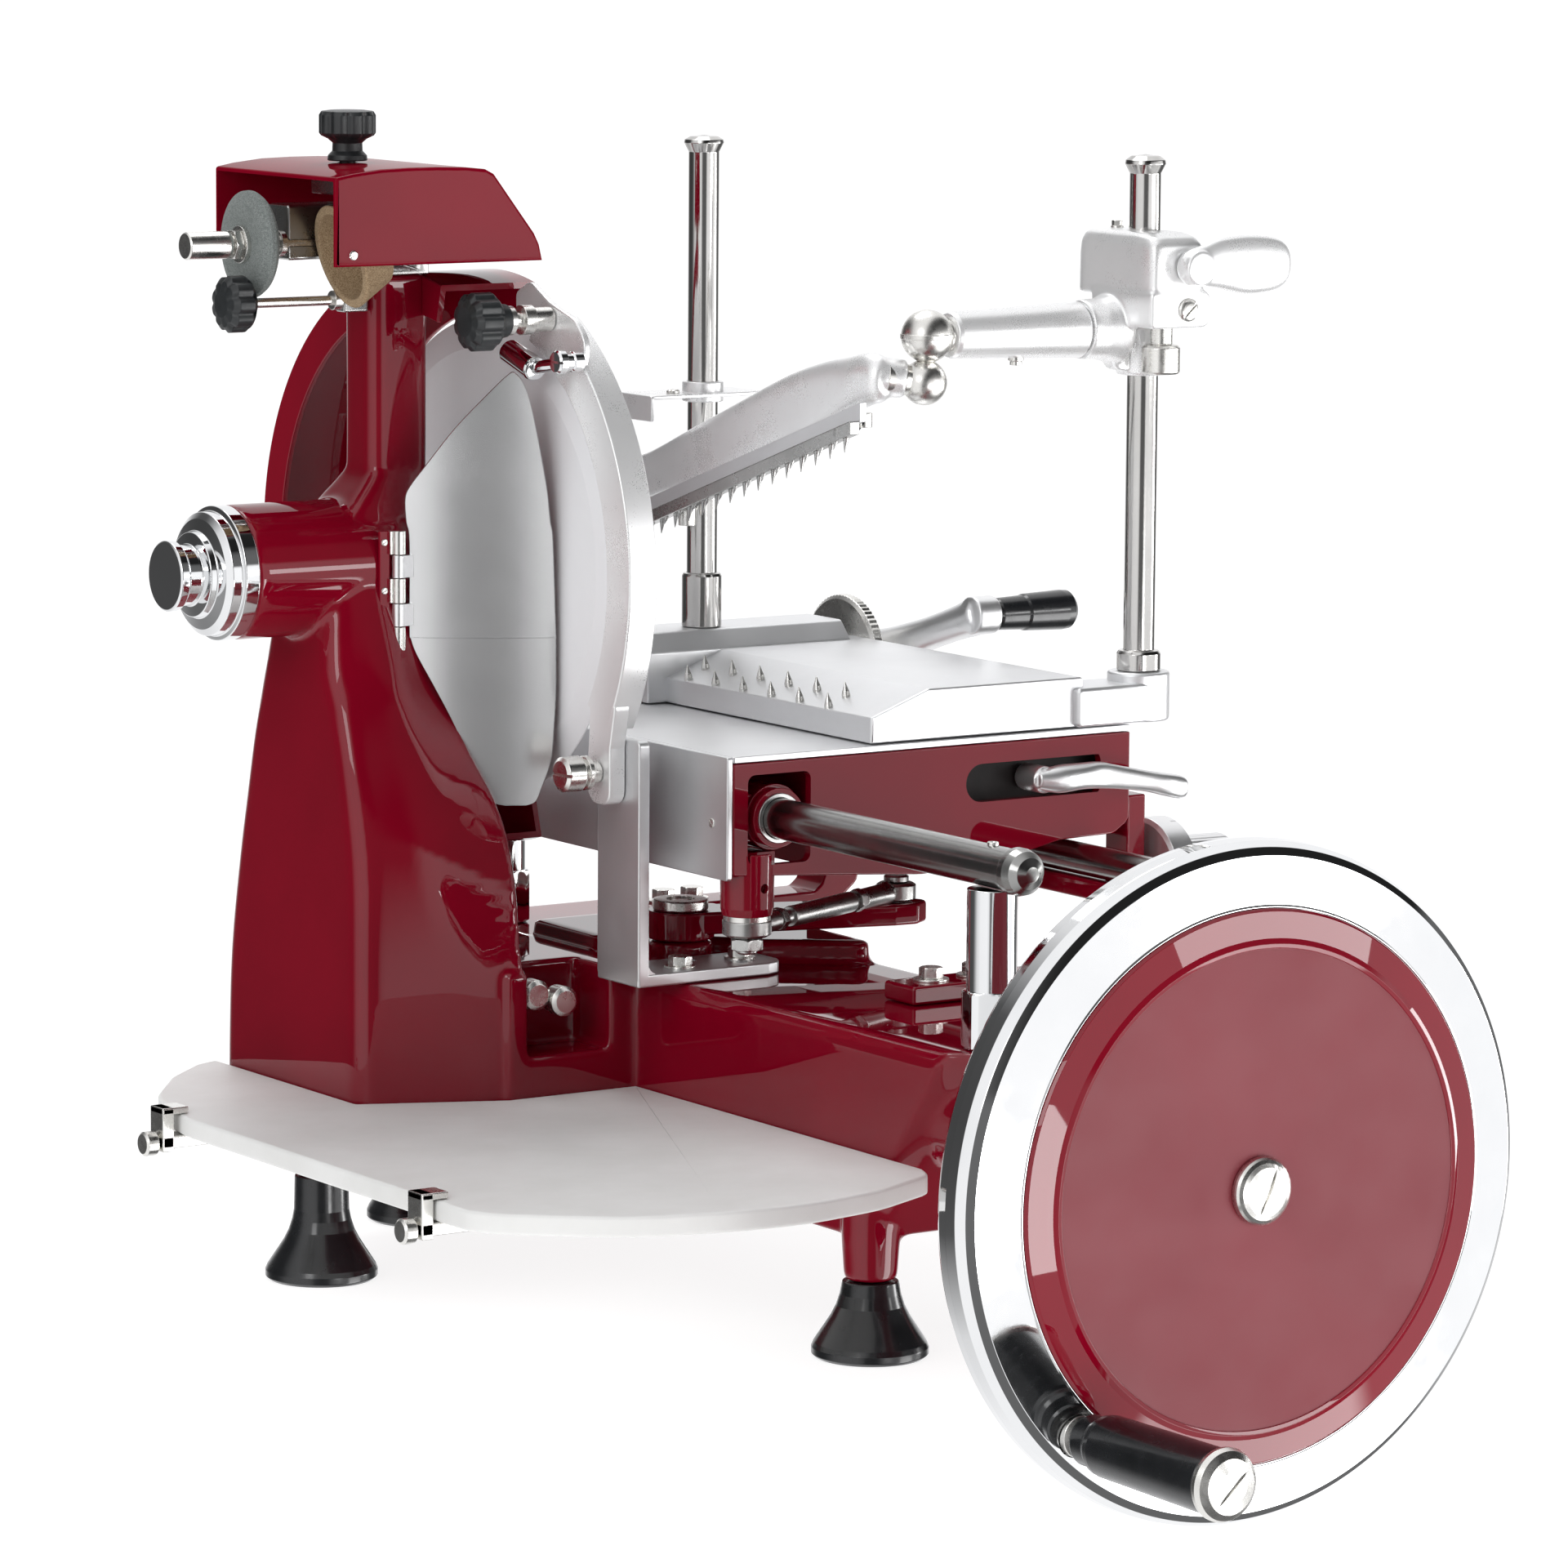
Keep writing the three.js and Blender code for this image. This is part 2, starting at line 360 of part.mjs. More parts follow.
// ---------------------------------------------------------------- carriage and its rails
node("main_guide_rod", "chrome", add(rod("y", [ROD_X, ROD_Z], -472, 112, ROD_R, 32), turn("y", [ROD_X, ROD_Z], [[-471, 0], [-471, 12.5], [-474, 12.5], [-475, 14], [-481, 14.3], [-487, 12], [-491, 7], [-492.5, 0]], 28)));
const post = (x, y) => add(rod("z", [x, y], 197.3, 292, 15, 28), hex("z", [x, y], 197.3, 232, 32, 0.3));
node("rod_post_front", "chrome", post(ROD_X, -452));
node("rod_post_rear", "chrome", post(ROD_X, 96));
node("side_rail", "chrome", rod("y", [RAIL_X, RAIL_Z], -335, 70, 10, 24));
node("rail_support", "red_enamel", add(
  box(RAIL_X - 9, RAIL_X + 9, -330, 66, 240, 252.5),
  prism("y", [[112, 197.5], [285, 197.5], [305, 214], [305, 241], [287, 241], [276, 214], [112, 209]], -312, -280),
  prism("y", [[140, 197.5], [285, 197.5], [305, 214], [305, 241], [287, 241], [276, 214], [140, 209]], 30, 62)));
{
  const plan = [[35.3, -229], [334, -229], [334, -108], [296, -108], [296, 45], [35.3, 45]];
  const skirt = prism("y", [[35.3, 340.6], [35.3, 272], [110, 267], [176, 262], [240, 267], [280, 275.5], [322, 276.5], [334, 284], [334, 340.6]], -229, 45);
  let shell = cut(skirt, box(296, 340, -108, 50, 200, 400));
  shell = cut(shell, box(41, 328, -223, -114, 200, 334), box(41, 290, -120, 39, 200, 334));
  shell = add(shell, box(98, 104, -224, 40, 272, 335), box(284, 287.8, -174, -146, 279, 335), rod("x", [-160, RAIL_Z + 22.3], 286, 306, 4, 14));
  const bush = (y0, y1) => rod("y", [ROD_X, ROD_Z], y0, y1, 18.5, 28);
  shell = add(shell, box(41, 99, -223, -196, 280, 336), box(41, 99, 12, 40, 280, 336), bush(-227, -195));
  shell = add(shell, rod("z", STUD, 245, 284, 17, 26));
  shell = cut(shell, box(46, 92, -230, -222.8, 277, 333));
  shell = add(shell, bush(-227, -195));
  shell = cut(shell, rod("y", [ROD_X, ROD_Z], -240, 60, ROD_R + 0.4, 32));
  const slot = [];
  for (let i = 0; i <= 8; i++) slot.push([220 - 12 * Math.sin((i * Math.PI) / 8), 316 + 12 * Math.cos((i * Math.PI) / 8)]);
  slot.push([312, 304], [312, 328]);
  shell = cut(shell, prism("y", slot, -235, -220));
  shell = add(shell, box(333, 347, -229, -205, 240, 300), rod("x", [-219, 246], 333, 352, 14, 24));
  node("carriage", "red_enamel", shell);
  node("carriage_top_plate", "aluminium", cut(add(prism("z", plan, 341, 345), box(284, 296, 33, 61, 341, 374)), rod("x", FEED, 270, 300, 6.5, 20)));
  node("carriage_side_plate", "aluminium", box(31, 35, -229, 45, 269, 345));
}
node("carriage_roller", "steel", tube("x", [-160, RAIL_Z + 22.3], 288.4, 303.6, 4.6, 12, 24));
node("thickness_dial", "aluminium", turn("x", [-219, 246], [[352.4, 0], [352.4, 34], [354, 37], [370, 37], [372, 34], [373, 24], [414, 23], [418, 20], [418, 0]], 40));
node("thickness_lever", "aluminium", add(
  bar([262, -218, 318], [262, -234, 316], 9, 9, 14), loft([
    [[250, -240, 324], [250, -232, 324], [250, -232, 308], [250, -240, 308]],
    [[300, -246, 326], [300, -238, 326], [300, -238, 308], [300, -246, 308]],
    [[330, -256, 318], [330, -246, 320], [330, -246, 308], [330, -256, 306]],
    [[356, -264, 315], [356, -252, 316], [356, -252, 300], [356, -264, 299]],
  ])));

// ---------------------------------------------------------------- meat table
{
  let table = prism("y", [[137, 346], [298, 346], [298, 377.5], [180, 377.5], [137, 362]], -228, 29);
  table = add(table, prism("x", [[5, 346], [57, 346], [57, 390], [16, 390], [5, 378]], 123, 280));
  table = add(table, box(297, 352, -234, -196, 346, 371), rod("z", POST_R, 346, 377, 19.5, 28));
  table = cut(table, rod("x", FEED, 120, 290, 7, 20));
  // two rows of prongs on the sloping strip
  for (let i = 0; i < 6; i++) {
    for (const [x, y0] of [[140, -177], [155, -174]]) {
      const y = y0 + i * 32;
      const z = 362 + ((x - 137) * 15.5) / 43;
      table = add(table, bar([x, y, z - 2], [x - 1, y, z + 9], 2.6, 0.5, 8));
    }
  }
  node("meat_table", "aluminium", table);
}
node("post_right", "chrome", turn("z", POST_R, [[377.3, 0], [377.3, 14], [389, 14], [390, 12.6], [390, 10], [692, 10], [693, 12], [697, 13], [701, 9], [702, 0]], 24));
node("post_left", "chrome", turn("z", POST_L, [[390.3, 0], [390.3, 13], [424, 13], [425, 10], [698, 10], [699, 12], [703, 13], [706, 9], [707, 0]], 24));
{
  const end = [FEED[0] - 128, FEED[1] + 41];
  const screw = rod("x", FEED, 104, 300, 6, 20);
  const wheel = turn("x", FEED, [[299, 0], [299, 40], [301, 43], [307, 43], [309, 40], [309, 26], [314, 22], [328, 18], [330, 0]], 40);
  const arm = bar([320, FEED[0], FEED[1]], [322, ...end], 11, 8.5, 16);
  node("feed_crank", "aluminium", add(screw, wheel, arm, rod("x", end, 314, 332, 11, 20), rod("x", end, 331, 391, 4, 14)));
  node("feed_grip", "black_plastic", turn("x", end, [[332.5, 4.4], [332.5, 10], [360, 11.5], [388, 13], [393, 11], [393, 4.4], [332.5, 4.4]], 22));
}

// ---------------------------------------------------------------- meat press
node("press_clamp", "aluminium", cut(add(
  box(323, 365, -261, -179, 616, 655), box(322, 368, -261, -196, 596, 617),
  rod("z", POST_R, 564, 600, 17, 28), rod("x", [-215, 594], 300, 326, 20, 24),
  turn("z", [341, -246], [[567, 0], [567, 11], [569, 12], [584, 12], [585, 8], [597, 8], [597, 0]], 20)),
  rod("z", POST_R, 540, 680, 10.4, 24), rod("y", [350, 634], -270, -254, 6.4, 16), rod("x", [-215, 594], 290, 330, 15.4, 24)));
node("press_arm", "aluminium", add(
  turn("x", [-215, 594], [[200, 0], [200, 14.5], [215, 16], [298, 18], [299, 15], [328, 15], [328, 0]], 28),
  ball([185, -215, 594], 16.5, 22, 14), bar([188, -215, 594], [203, -215, 594], 10, 10)));
node("clamp_lever", "aluminium", add(rod("y", [350, 634], -277, -256, 6, 16), rod("y", [350, 634], -277, -262, 10, 20), loft([
  [[346, -276, 628], [346, -263, 628], [346, -263, 641], [346, -276, 641]],
  [[372, -277, 624], [372, -263, 624], [372, -263, 647], [372, -277, 647]],
  [[400, -280, 618], [400, -263, 618], [400, -263, 653], [400, -280, 653]],
  [[416, -280, 619], [416, -264, 619], [416, -264, 651], [416, -280, 651]],
  [[424, -276, 626], [424, -267, 626], [424, -267, 645], [424, -276, 645]],
])));
{
  const web = prism("x", [[-206, 568], [-196, 586], [-150, 580], [-80, 556], [0, 522], [77, 497], [77, 474], [57, 464], [-60, 503], [-140, 529], [-206, 556]], 146, 166);
  const neck = add(bar([156, -204, 572], [183, -213, 566], 11, 9, 16), bar([183, -214, 556], [184, -215, 574], 14, 14, 20));
  node("press_plate", "aluminium", add(web, neck));
  const comb = [];
  const low = (y) => 546 - ((y + 225) * 93) / 282;
  const bar2 = prism("x", [[-206, low(-206) + 5], [57, low(57) + 5], [57, low(57) - 4], [-206, low(-206) - 4]], 134, 145.6);
  let teeth = bar2;
  for (let i = 0; i < 16; i++) {
    const y = -196 + i * 16;
    teeth = add(teeth, bar([140, y, low(y) - 2], [139, y + 1, low(y) - 13.5], 1.8, 0.5, 8));
  }
  node("press_comb", "steel", teeth);
}

// ---------------------------------------------------------------- sharpener
{
  const outline = [[-152, 638], [-152, 692], [-100, 697], [-43, 695.5], [-11, 655], [-5, 638]];
  const inner = [[-160, 630], [-160, 689], [-100, 694], [-44.5, 692.5], [-14, 654], [-8.4, 630]];
  node("sharpener_cover", "red_enamel", cut(prism("y", outline, -74, 76), prism("y", inner, -71, 73), rod("z", [-101, 0], 680, 705, 6.4, 18)));
  const frame = add(box(-95, -58, -26, 26, 628.4, 688), box(-112, -60, -26, 26, 677, 688), box(-145, -94, -3, 22, 638, 672), box(-99.5, -95.6, -16, 4, 606, 640), box(-114, -97, -18, -7, 606, 621), box(-95, -84, -52, -20, 638, 664));
  node("sharpener_frame", "steel", cut(frame, rod("x", [2, 648.5], -150, -110, 5.5, 18), rod("z", [-101, 0], 670, 700, 5.4, 16), rod("x", [-13, 613.5], -130, -97, 3.5, 14)));
  node("sharpener_knob", "black_plastic", add(turn("z", [-101, 0], [[698, 0], [698, 12], [702, 12], [706, 8], [712, 10], [716, 17], [726, 17], [729, 13], [729, 0]], 22), rod("z", [-101, 0], 679, 699, 5, 14)));
  node("grinding_wheel", "stone", add(turn("x", [2, 648.5], [[-174, 0], [-174, 29], [-171, 32.5], [-168, 32.5], [-165, 29], [-165, 0]], 36), rod("x", [2, 648.5], -166, -112, 5, 16), turn("x", [2, 648.5], [[-214, 0], [-214, 8], [-212, 8.5], [-183, 8.5], [-181, 11], [-173.5, 11], [-173.5, 0]], 20)));
}
{
  const axis = new THREE.Vector3(-0.96, 0.08, -0.27).normalize();
  const g = new THREE.LatheGeometry([[0, 0], [12, 0], [24, -6], [30, -22], [33, -30], [27, -30], [22, -12], [6, -8], [0, -8]].map(([r, a]) => new THREE.Vector2(r, a)), 32);
  g.applyQuaternion(new THREE.Quaternion().setFromUnitVectors(new THREE.Vector3(0, -1, 0), axis));
  g.translate(-99.2, -39.9, 649.6);
  node("cup_stone", "stone_brown", solid(g));
  node("push_knob", "black_plastic", add(turn("x", [-13, 613.5], [[-198, 0], [-198, 14], [-195, 17.5], [-182, 17.5], [-178, 13], [-176, 8], [-176, 0]], 22), rod("x", [-13, 613.5], -177, -99, 3, 12)));
}

// ---------------------------------------------------------------- receiving board
{
  let board = prism("z", [[-145, 92], [-163, 85], [-197, 55], [-234, 6], [-250, -35], [-256, -75], [-256, -400], [-246, -418], [-227, -434], [-186, -467], [-124, -483], [-78, -486], [-22, -475], [28, -451], [34.4, -436], [34.4, -122.6], [-58.8, -122.6], [-145, -84.9]], 114, 126.4);
  node("receiving_board", "white_board", board);
  for (const [name, y, right] of [["board_bar_rear", -52, -144.6], ["board_bar_front", -359, 27.6]]) {
    node(name, "chrome", add(
      box(-266, right, y - 8, y + 8, 106, 113.6), box(-266, -258, y - 8, y + 8, 104, 131), box(-266, -248, y - 8, y + 8, 126.8, 131),
      turn("x", [y, 109], [[-276, 0], [-276, 6], [-274, 7.5], [-268, 7.5], [-265.5, 4], [-265.5, 0]], 16)));
  }
}

export default object;
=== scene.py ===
import math

import bmesh
import bpy
from mathutils import Matrix, Vector


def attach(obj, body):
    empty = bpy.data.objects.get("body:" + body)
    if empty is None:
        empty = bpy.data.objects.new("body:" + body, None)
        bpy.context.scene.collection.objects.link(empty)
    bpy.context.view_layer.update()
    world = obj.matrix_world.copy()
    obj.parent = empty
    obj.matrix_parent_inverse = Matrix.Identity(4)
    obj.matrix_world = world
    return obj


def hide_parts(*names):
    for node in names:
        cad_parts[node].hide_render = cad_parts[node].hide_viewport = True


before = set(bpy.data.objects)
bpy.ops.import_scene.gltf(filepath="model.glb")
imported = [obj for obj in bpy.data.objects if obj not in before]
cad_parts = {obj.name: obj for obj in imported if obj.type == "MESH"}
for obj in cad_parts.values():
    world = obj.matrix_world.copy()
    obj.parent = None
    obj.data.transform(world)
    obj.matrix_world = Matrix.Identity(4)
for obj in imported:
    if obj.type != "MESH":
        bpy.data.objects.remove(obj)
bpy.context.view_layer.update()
scene = bpy.context.scene

# Hand-cranked meat slicer. Shapes are written in millimetres and turned into metres when a piece is made.
# X = 0 is the blade's plane, Y = 0 and Z = 448 its axis, Z = 0 the plane under the feet.
AXIS_Z = 448
SHAFT = (79, 154)
GRIP = (-38, 27)
ROD = (70, 305)
RAIL = (296, 263)
ROCKER = (79, -103)
STUD = (55, -215)
PIN = (214, -145)
POST_R = (350, -215)
POST_L = (180, 30)
FEED = (47, 359)
FEET = {
    "foot_column": (-121, 0), "foot_front_left": (46, -365), "foot_front_right": (179, -365),
    "foot_rear_left": (26, 126), "foot_rear_right": (179, 135),
}


# ------------------------------------------------------------------ shapes
class Shape:
    def __init__(self, v, f):
        self.v = v
        self.f = f

    def __add__(self, other):
        n = len(self.v)
        return Shape(self.v + other.v, self.f + [tuple(i + n for i in q) for q in other.f])

    def moved(self, m):
        return Shape([tuple(m @ Vector(p)) for p in self.v], self.f)


def to_mesh(shape, name, scale=1.0):
    me = bpy.data.meshes.new(name)
    me.from_pydata([(x * scale, y * scale, z * scale) for x, y, z in shape.v], [], shape.f)
    me.update()
    bm = bmesh.new()
    bm.from_mesh(me)
    bmesh.ops.remove_doubles(bm, verts=bm.verts, dist=1e-3 * scale)
    bmesh.ops.dissolve_degenerate(bm, dist=1e-3 * scale, edges=bm.edges)
    bmesh.ops.delete(bm, geom=[e for e in bm.edges if not e.link_faces], context="EDGES")
    bmesh.ops.delete(bm, geom=[v for v in bm.verts if not v.link_faces], context="VERTS")
    bmesh.ops.recalc_face_normals(bm, faces=bm.faces)
    bm.to_mesh(me)
    bm.free()
    return me


def evaluated(shape, build):
    """The shape after the modifiers that build(object, keep) adds."""
    extra = []
    ob = bpy.data.objects.new("work", to_mesh(shape, "work"))
    scene.collection.objects.link(ob)
    build(ob, extra)
    bpy.context.view_layer.update()
    dg = bpy.context.evaluated_depsgraph_get()
    me = bpy.data.meshes.new_from_object(ob.evaluated_get(dg))
    out = Shape([tuple(v.co) for v in me.vertices], [tuple(p.vertices) for p in me.polygons])
    bpy.data.meshes.remove(me)
    for o in [ob] + extra:
        data = o.data
        bpy.data.objects.remove(o)
        bpy.data.meshes.remove(data)
    return out


def closed(me):
    bm = bmesh.new()
    bm.from_mesh(me)
    good = all(len(e.link_faces) == 2 for e in bm.edges)
    bm.free()
    return good


def boolean(operation, first, *others):
    out = first
    for other in others:

        def build(ob, extra, other=other):
            tool = bpy.data.objects.new("tool", to_mesh(other, "tool"))
            scene.collection.objects.link(tool)
            extra.append(tool)
            m = ob.modifiers.new("b", "BOOLEAN")
            m.operation = operation
            m.object = tool
            m.solver = "MANIFOLD" if closed(ob.data) and closed(tool.data) else "EXACT"

        out = evaluated(out, build)
    return out


def union(first, *others):
    return boolean("UNION", first, *others)


def cut(first, *others):
    return boolean("DIFFERENCE", first, *others)


def cast(shape, voxel, smooth):
    """One skin round everything in the shape, with soft cast edges."""

    def build(ob, extra):
        m = ob.modifiers.new("r", "REMESH")
        m.mode = "VOXEL"
        m.voxel_size = voxel
        s = ob.modifiers.new("s", "SMOOTH")
        s.factor = 0.5
        s.iterations = smooth

    return evaluated(shape, build)


def place(axis, a, u, v):
    return (a, u, v) if axis == "x" else (u, a, v) if axis == "y" else (u, v, a)


def fillet(points, radius, closed, n=4):
    """Rounds the corners of a 2-D line. A point's third number is its own radius."""
    out = []
    m = len(points)
    for i, p in enumerate(points):
        r = p[2] if len(p) > 2 else radius
        b = Vector(p[:2])
        if r <= 0 or (not closed and i in (0, m - 1)):
            out.append(tuple(b))
            continue
        u = Vector(points[i - 1][:2]) - b
        v = Vector(points[(i + 1) % m][:2]) - b
        lu, lv = u.length, v.length
        if lu < 1e-5 or lv < 1e-5:
            continue
        u /= lu
        v /= lv
        angle = math.acos(max(-1, min(1, u.dot(v))))
        if angle > math.radians(174) or angle < 0.05:
            out.append(tuple(b))
            continue
        t = min(r / math.tan(angle / 2), lu * 0.47, lv * 0.47)
        real = t * math.tan(angle / 2)
        centre = b + (u + v).normalized() * (real / math.sin(angle / 2))
        p0, p1 = b + u * t - centre, b + v * t - centre
        a0, a1 = math.atan2(p0.y, p0.x), math.atan2(p1.y, p1.x)
        d = (a1 - a0 + math.pi) % (2 * math.pi) - math.pi
        k = max(2, round(n * abs(d) / 1.57))
        for j in range(k + 1):
            a = a0 + d * j / k
            out.append((centre.x + real * math.cos(a), centre.y + real * math.sin(a)))
    return out


def loft(rings, caps=True):
    n = len(rings[0])
    v = [tuple(p) for r in rings for p in r]
    f = []
    for k in range(len(rings) - 1):
        for i in range(n):
            j = (i + 1) % n
            f.append((k * n + i, k * n + j, (k + 1) * n + j, (k + 1) * n + i))
    if caps:
        f.append(tuple(range(n - 1, -1, -1)))
        f.append(tuple((len(rings) - 1) * n + i for i in range(n)))
    return Shape(v, f)


def inset(o, d):
    out = []
    m = len(o)
    for i in range(m):
        a, b, c = Vector(o[i - 1]), Vector(o[i]), Vector(o[(i + 1) % m])
        e0, e1 = (b - a).normalized(), (c - b).normalized()
        n0, n1 = Vector((-e0.y, e0.x)), Vector((-e1.y, e1.x))
        w = (n0 + n1) / max(0.3, 1 + n0.dot(n1))
        out.append((b.x + w.x * d, b.y + w.y * d))
    return out


def clean(o):
    out = []
    for p in o:
        if not out or (Vector(p) - Vector(out[-1])).length > 1e-3:
            out.append(p)
    if (Vector(out[0]) - Vector(out[-1])).length < 1e-3:
        out.pop()
    area = sum(out[i - 1][0] * out[i][1] - out[i][0] * out[i - 1][1] for i in range(len(out)))
    return out if area > 0 else out[::-1]


def prism(axis, outline, a0, a1, f=0.8, corner=1.2, n=3):
    """A flat outline pushed along an axis, with rounded rims and corners."""
    o = clean(fillet(outline, max(corner, f), True))
    a0, a1 = min(a0, a1), max(a0, a1)
    f = min(f, (a1 - a0) * 0.45)
    rings = []
    for j in range(n + 1):
        t = j / n * math.pi / 2
        rings.append([place(axis, a0 + f * (1 - math.cos(t)), *p) for p in inset(o, f * (1 - math.sin(t)))])
    for j in range(n, -1, -1):
        t = j / n * math.pi / 2
        rings.append([place(axis, a1 - f * (1 - math.cos(t)), *p) for p in inset(o, f * (1 - math.sin(t)))])
    return loft(rings)


def box(x0, x1, y0, y1, z0, z1, f=0.8, axis="z", corner=None):
    span = {"x": ((y0, y1), (z0, z1), (x0, x1)), "y": ((x0, x1), (z0, z1), (y0, y1)), "z": ((x0, x1), (y0, y1), (z0, z1))}[axis]
    (u0, u1), (v0, v1), (a0, a1) = span
    return prism(axis, [(u0, v0), (u1, v0), (u1, v1), (u0, v1)], a0, a1, f, f if corner is None else corner)


def block(x0, x1, y0, y1, z0, z1):
    return loft([[(x0, y0, z), (x1, y0, z), (x1, y1, z), (x0, y1, z)] for z in (z0, z1)])


def lathe(axis, centre, profile, seg=96, f=0.7, wave=None, n=4):
    """A turned shape. profile is [position along the axis, radius]; wave(angle, position, radius) may change the radius."""
    closed = tuple(profile[0][:2]) == tuple(profile[-1][:2])
    pts = fillet(profile[:-1] if closed else profile, f, closed, n)
    v, rows = [], []
    for a, r in pts:
        if r < 1e-4:
            rows.append([len(v)])
            v.append(place(axis, a, *centre))
            continue
        row = []
        for i in range(seg):
            t = 2 * math.pi * i / seg
            q = wave(t, a, r) if wave else r
            row.append(len(v))
            v.append(place(axis, a, centre[0] + q * math.cos(t), centre[1] + q * math.sin(t)))
        rows.append(row)
    faces = []
    pairs = list(zip(rows, rows[1:])) + ([(rows[-1], rows[0])] if closed else [])
    for p, q in pairs:
        if len(p) == 1 and len(q) == 1:
            continue
        for i in range(seg):
            j = (i + 1) % seg
            if len(p) == 1:
                faces.append((p[0], q[j], q[i]))
            elif len(q) == 1:
                faces.append((p[i], p[j], q[0]))
            else:
                faces.append((p[i], p[j], q[j], q[i]))
    return Shape(v, faces)


def rod(axis, centre, a0, a1, r, seg=64, f=0.6):
    return lathe(axis, centre, [(a0, 0), (a0, r), (a1, r), (a1, 0)], seg, min(f, r * 0.5))


def tube(axis, centre, a0, a1, r0, r1, seg=64, f=0.5):
    return lathe(axis, centre, [(a0, r0), (a0, r1), (a1, r1), (a1, r0), (a0, r0)], seg, f)


def aim(p0, direction):
    """Matrix that takes +Z at the origin to a direction at p0."""
    q = Vector((0, 0, 1)).rotation_difference(Vector(direction).normalized())
    return Matrix.Translation(Vector(p0)) @ q.to_matrix().to_4x4()


def spindle(p0, direction, profile, seg=40, f=0.6, wave=None):
    """A turned shape along any direction, from p0."""
    return lathe("z", (0, 0), profile, seg, f, wave).moved(aim(p0, direction))


def bar(p0, p1, r0, r1=None, seg=32, f=0.5):
    r1 = r0 if r1 is None else r1
    d = Vector(p1) - Vector(p0)
    return spindle(p0, d, [(0, 0), (0, r0), (d.length, r1), (d.length, 0)], seg, min(f, r0 * 0.5, max(r1 * 0.5, 0.01)))


def ball(c, r, seg=48, squash=1.0):
    prof = [(-r * math.cos(math.pi * i / 24) * squash, r * math.sin(math.pi * i / 24)) for i in range(25)]
    prof[0] = (prof[0][0], 0)
    prof[-1] = (prof[-1][0], 0)
    return lathe("z", (c[0], c[1]), [(a + c[2], q) for a, q in prof], seg, 0)


def nut(axis, centre, a0, a1, across, turned=0.0):
    """Hexagon with the corners of both ends turned off."""
    big = across / 2 / math.cos(math.pi / 6)
    flat = across / 2
    rings = []
    h = (big - flat) * 0.6

    def ring(a, limit):
        pts = []
        for i in range(48):
            t = 2 * math.pi * i / 48
            k = ((t - turned) % (math.pi / 3)) - math.pi / 6
            r = min(flat / math.cos(k), limit)
            pts.append(place(axis, a, centre[0] + r * math.cos(t), centre[1] + r * math.sin(t)))
        return pts

    for a, limit in ((a0, flat * 0.97), (a0 + h * 0.3, flat * 1.03), (a0 + h, big), (a1 - h, big), (a1 - h * 0.3, flat * 1.03), (a1, flat * 0.97)):
        rings.append(ring(a, limit))
    return loft(rings)


def arc(section, start, end, steps, f=0.8):
    """A section of [x, radius] points swept about the blade's axis. Angles in degrees from +Z towards +Y."""
    o = clean(fillet(section, f, True, 3))
    rings = []
    for k in range(steps + 1):
        t = math.radians(start + (end - start) * k / steps)
        rings.append([(x, r * math.sin(t), AXIS_Z + r * math.cos(t)) for x, r in o])
    return loft(rings)


def oval(axis, a, centre, half, power=2.0, n=48, tilt=0.0):
    """A ring of a rounded rectangle: power 2 is an ellipse, higher is squarer."""
    out = []
    for i in range(n):
        t = 2 * math.pi * i / n
        c, s = math.cos(t), math.sin(t)
        u = half[0] * math.copysign(abs(c) ** (2 / power), c)
        v = half[1] * math.copysign(abs(s) ** (2 / power), s)
        u, v = u * math.cos(tilt) - v * math.sin(tilt), u * math.sin(tilt) + v * math.cos(tilt)
        out.append(place(axis, a, centre[0] + u, centre[1] + v))
    return out


def smooth_rows(rows, count):
    """Rows of numbers with smooth values between them (Catmull-Rom)."""
    out = []
    for k in range(len(rows) - 1):
        p0, p1, p2, p3 = rows[max(k - 1, 0)], rows[k], rows[k + 1], rows[min(k + 2, len(rows) - 1)]
        for i in range(count):
            t = i / count
            out.append([0.5 * (2 * b + (c - a) * t + (2 * a - 5 * b + 4 * c - d) * t * t + (3 * b - a - 3 * c + d) * t ** 3) for a, b, c, d in zip(p0, p1, p2, p3)])
    out.append(list(rows[-1]))
    return out


def domed_screw(p, direction, r, h, turned=0.0, slot_width=1.6, depth=1.4):
    """Domed head with one slot, standing on p."""
    prof = [(0, 0), (0, r), (h * 0.25, r)]
    for i in range(1, 9):
        t = math.pi / 2 * i / 8
        prof.append((h * 0.25 + h * 0.75 * math.sin(t), r * math.cos(t) if i < 8 else 0))
    head = lathe("z", (0, 0), prof, 56, 0.3)
    slot = block(-r * 1.2, r * 1.2, -slot_width / 2, slot_width / 2, h - depth, h + 2).moved(Matrix.Rotation(turned, 4, "Z"))
    return cut(head, slot).moved(aim(p, direction))


def pan_screw(p, direction, r, h, turned=0.0):
    head = lathe("z", (0, 0), [(0, 0), (0, r), (h * 0.7, r), (h, r * 0.75), (h, 0)], 40, 0.4)
    slot = block(-r * 1.2, r * 1.2, -r * 0.13, r * 0.13, h * 0.45, h + 2).moved(Matrix.Rotation(turned, 4, "Z"))
    return cut(head, slot).moved(aim(p, direction))


def bolt(p, direction, across, h, washer=None):
    """Hexagon head on a washer."""
    out = nut("z", (0, 0), 1.4, 1.4 + h, across, 0.4)
    out = out + lathe("z", (0, 0), [(0, 0), (0, washer or across * 0.75), (1.5, washer or across * 0.75), (1.5, 0)], 40, 0.3)
    return out.moved(aim(p, direction))


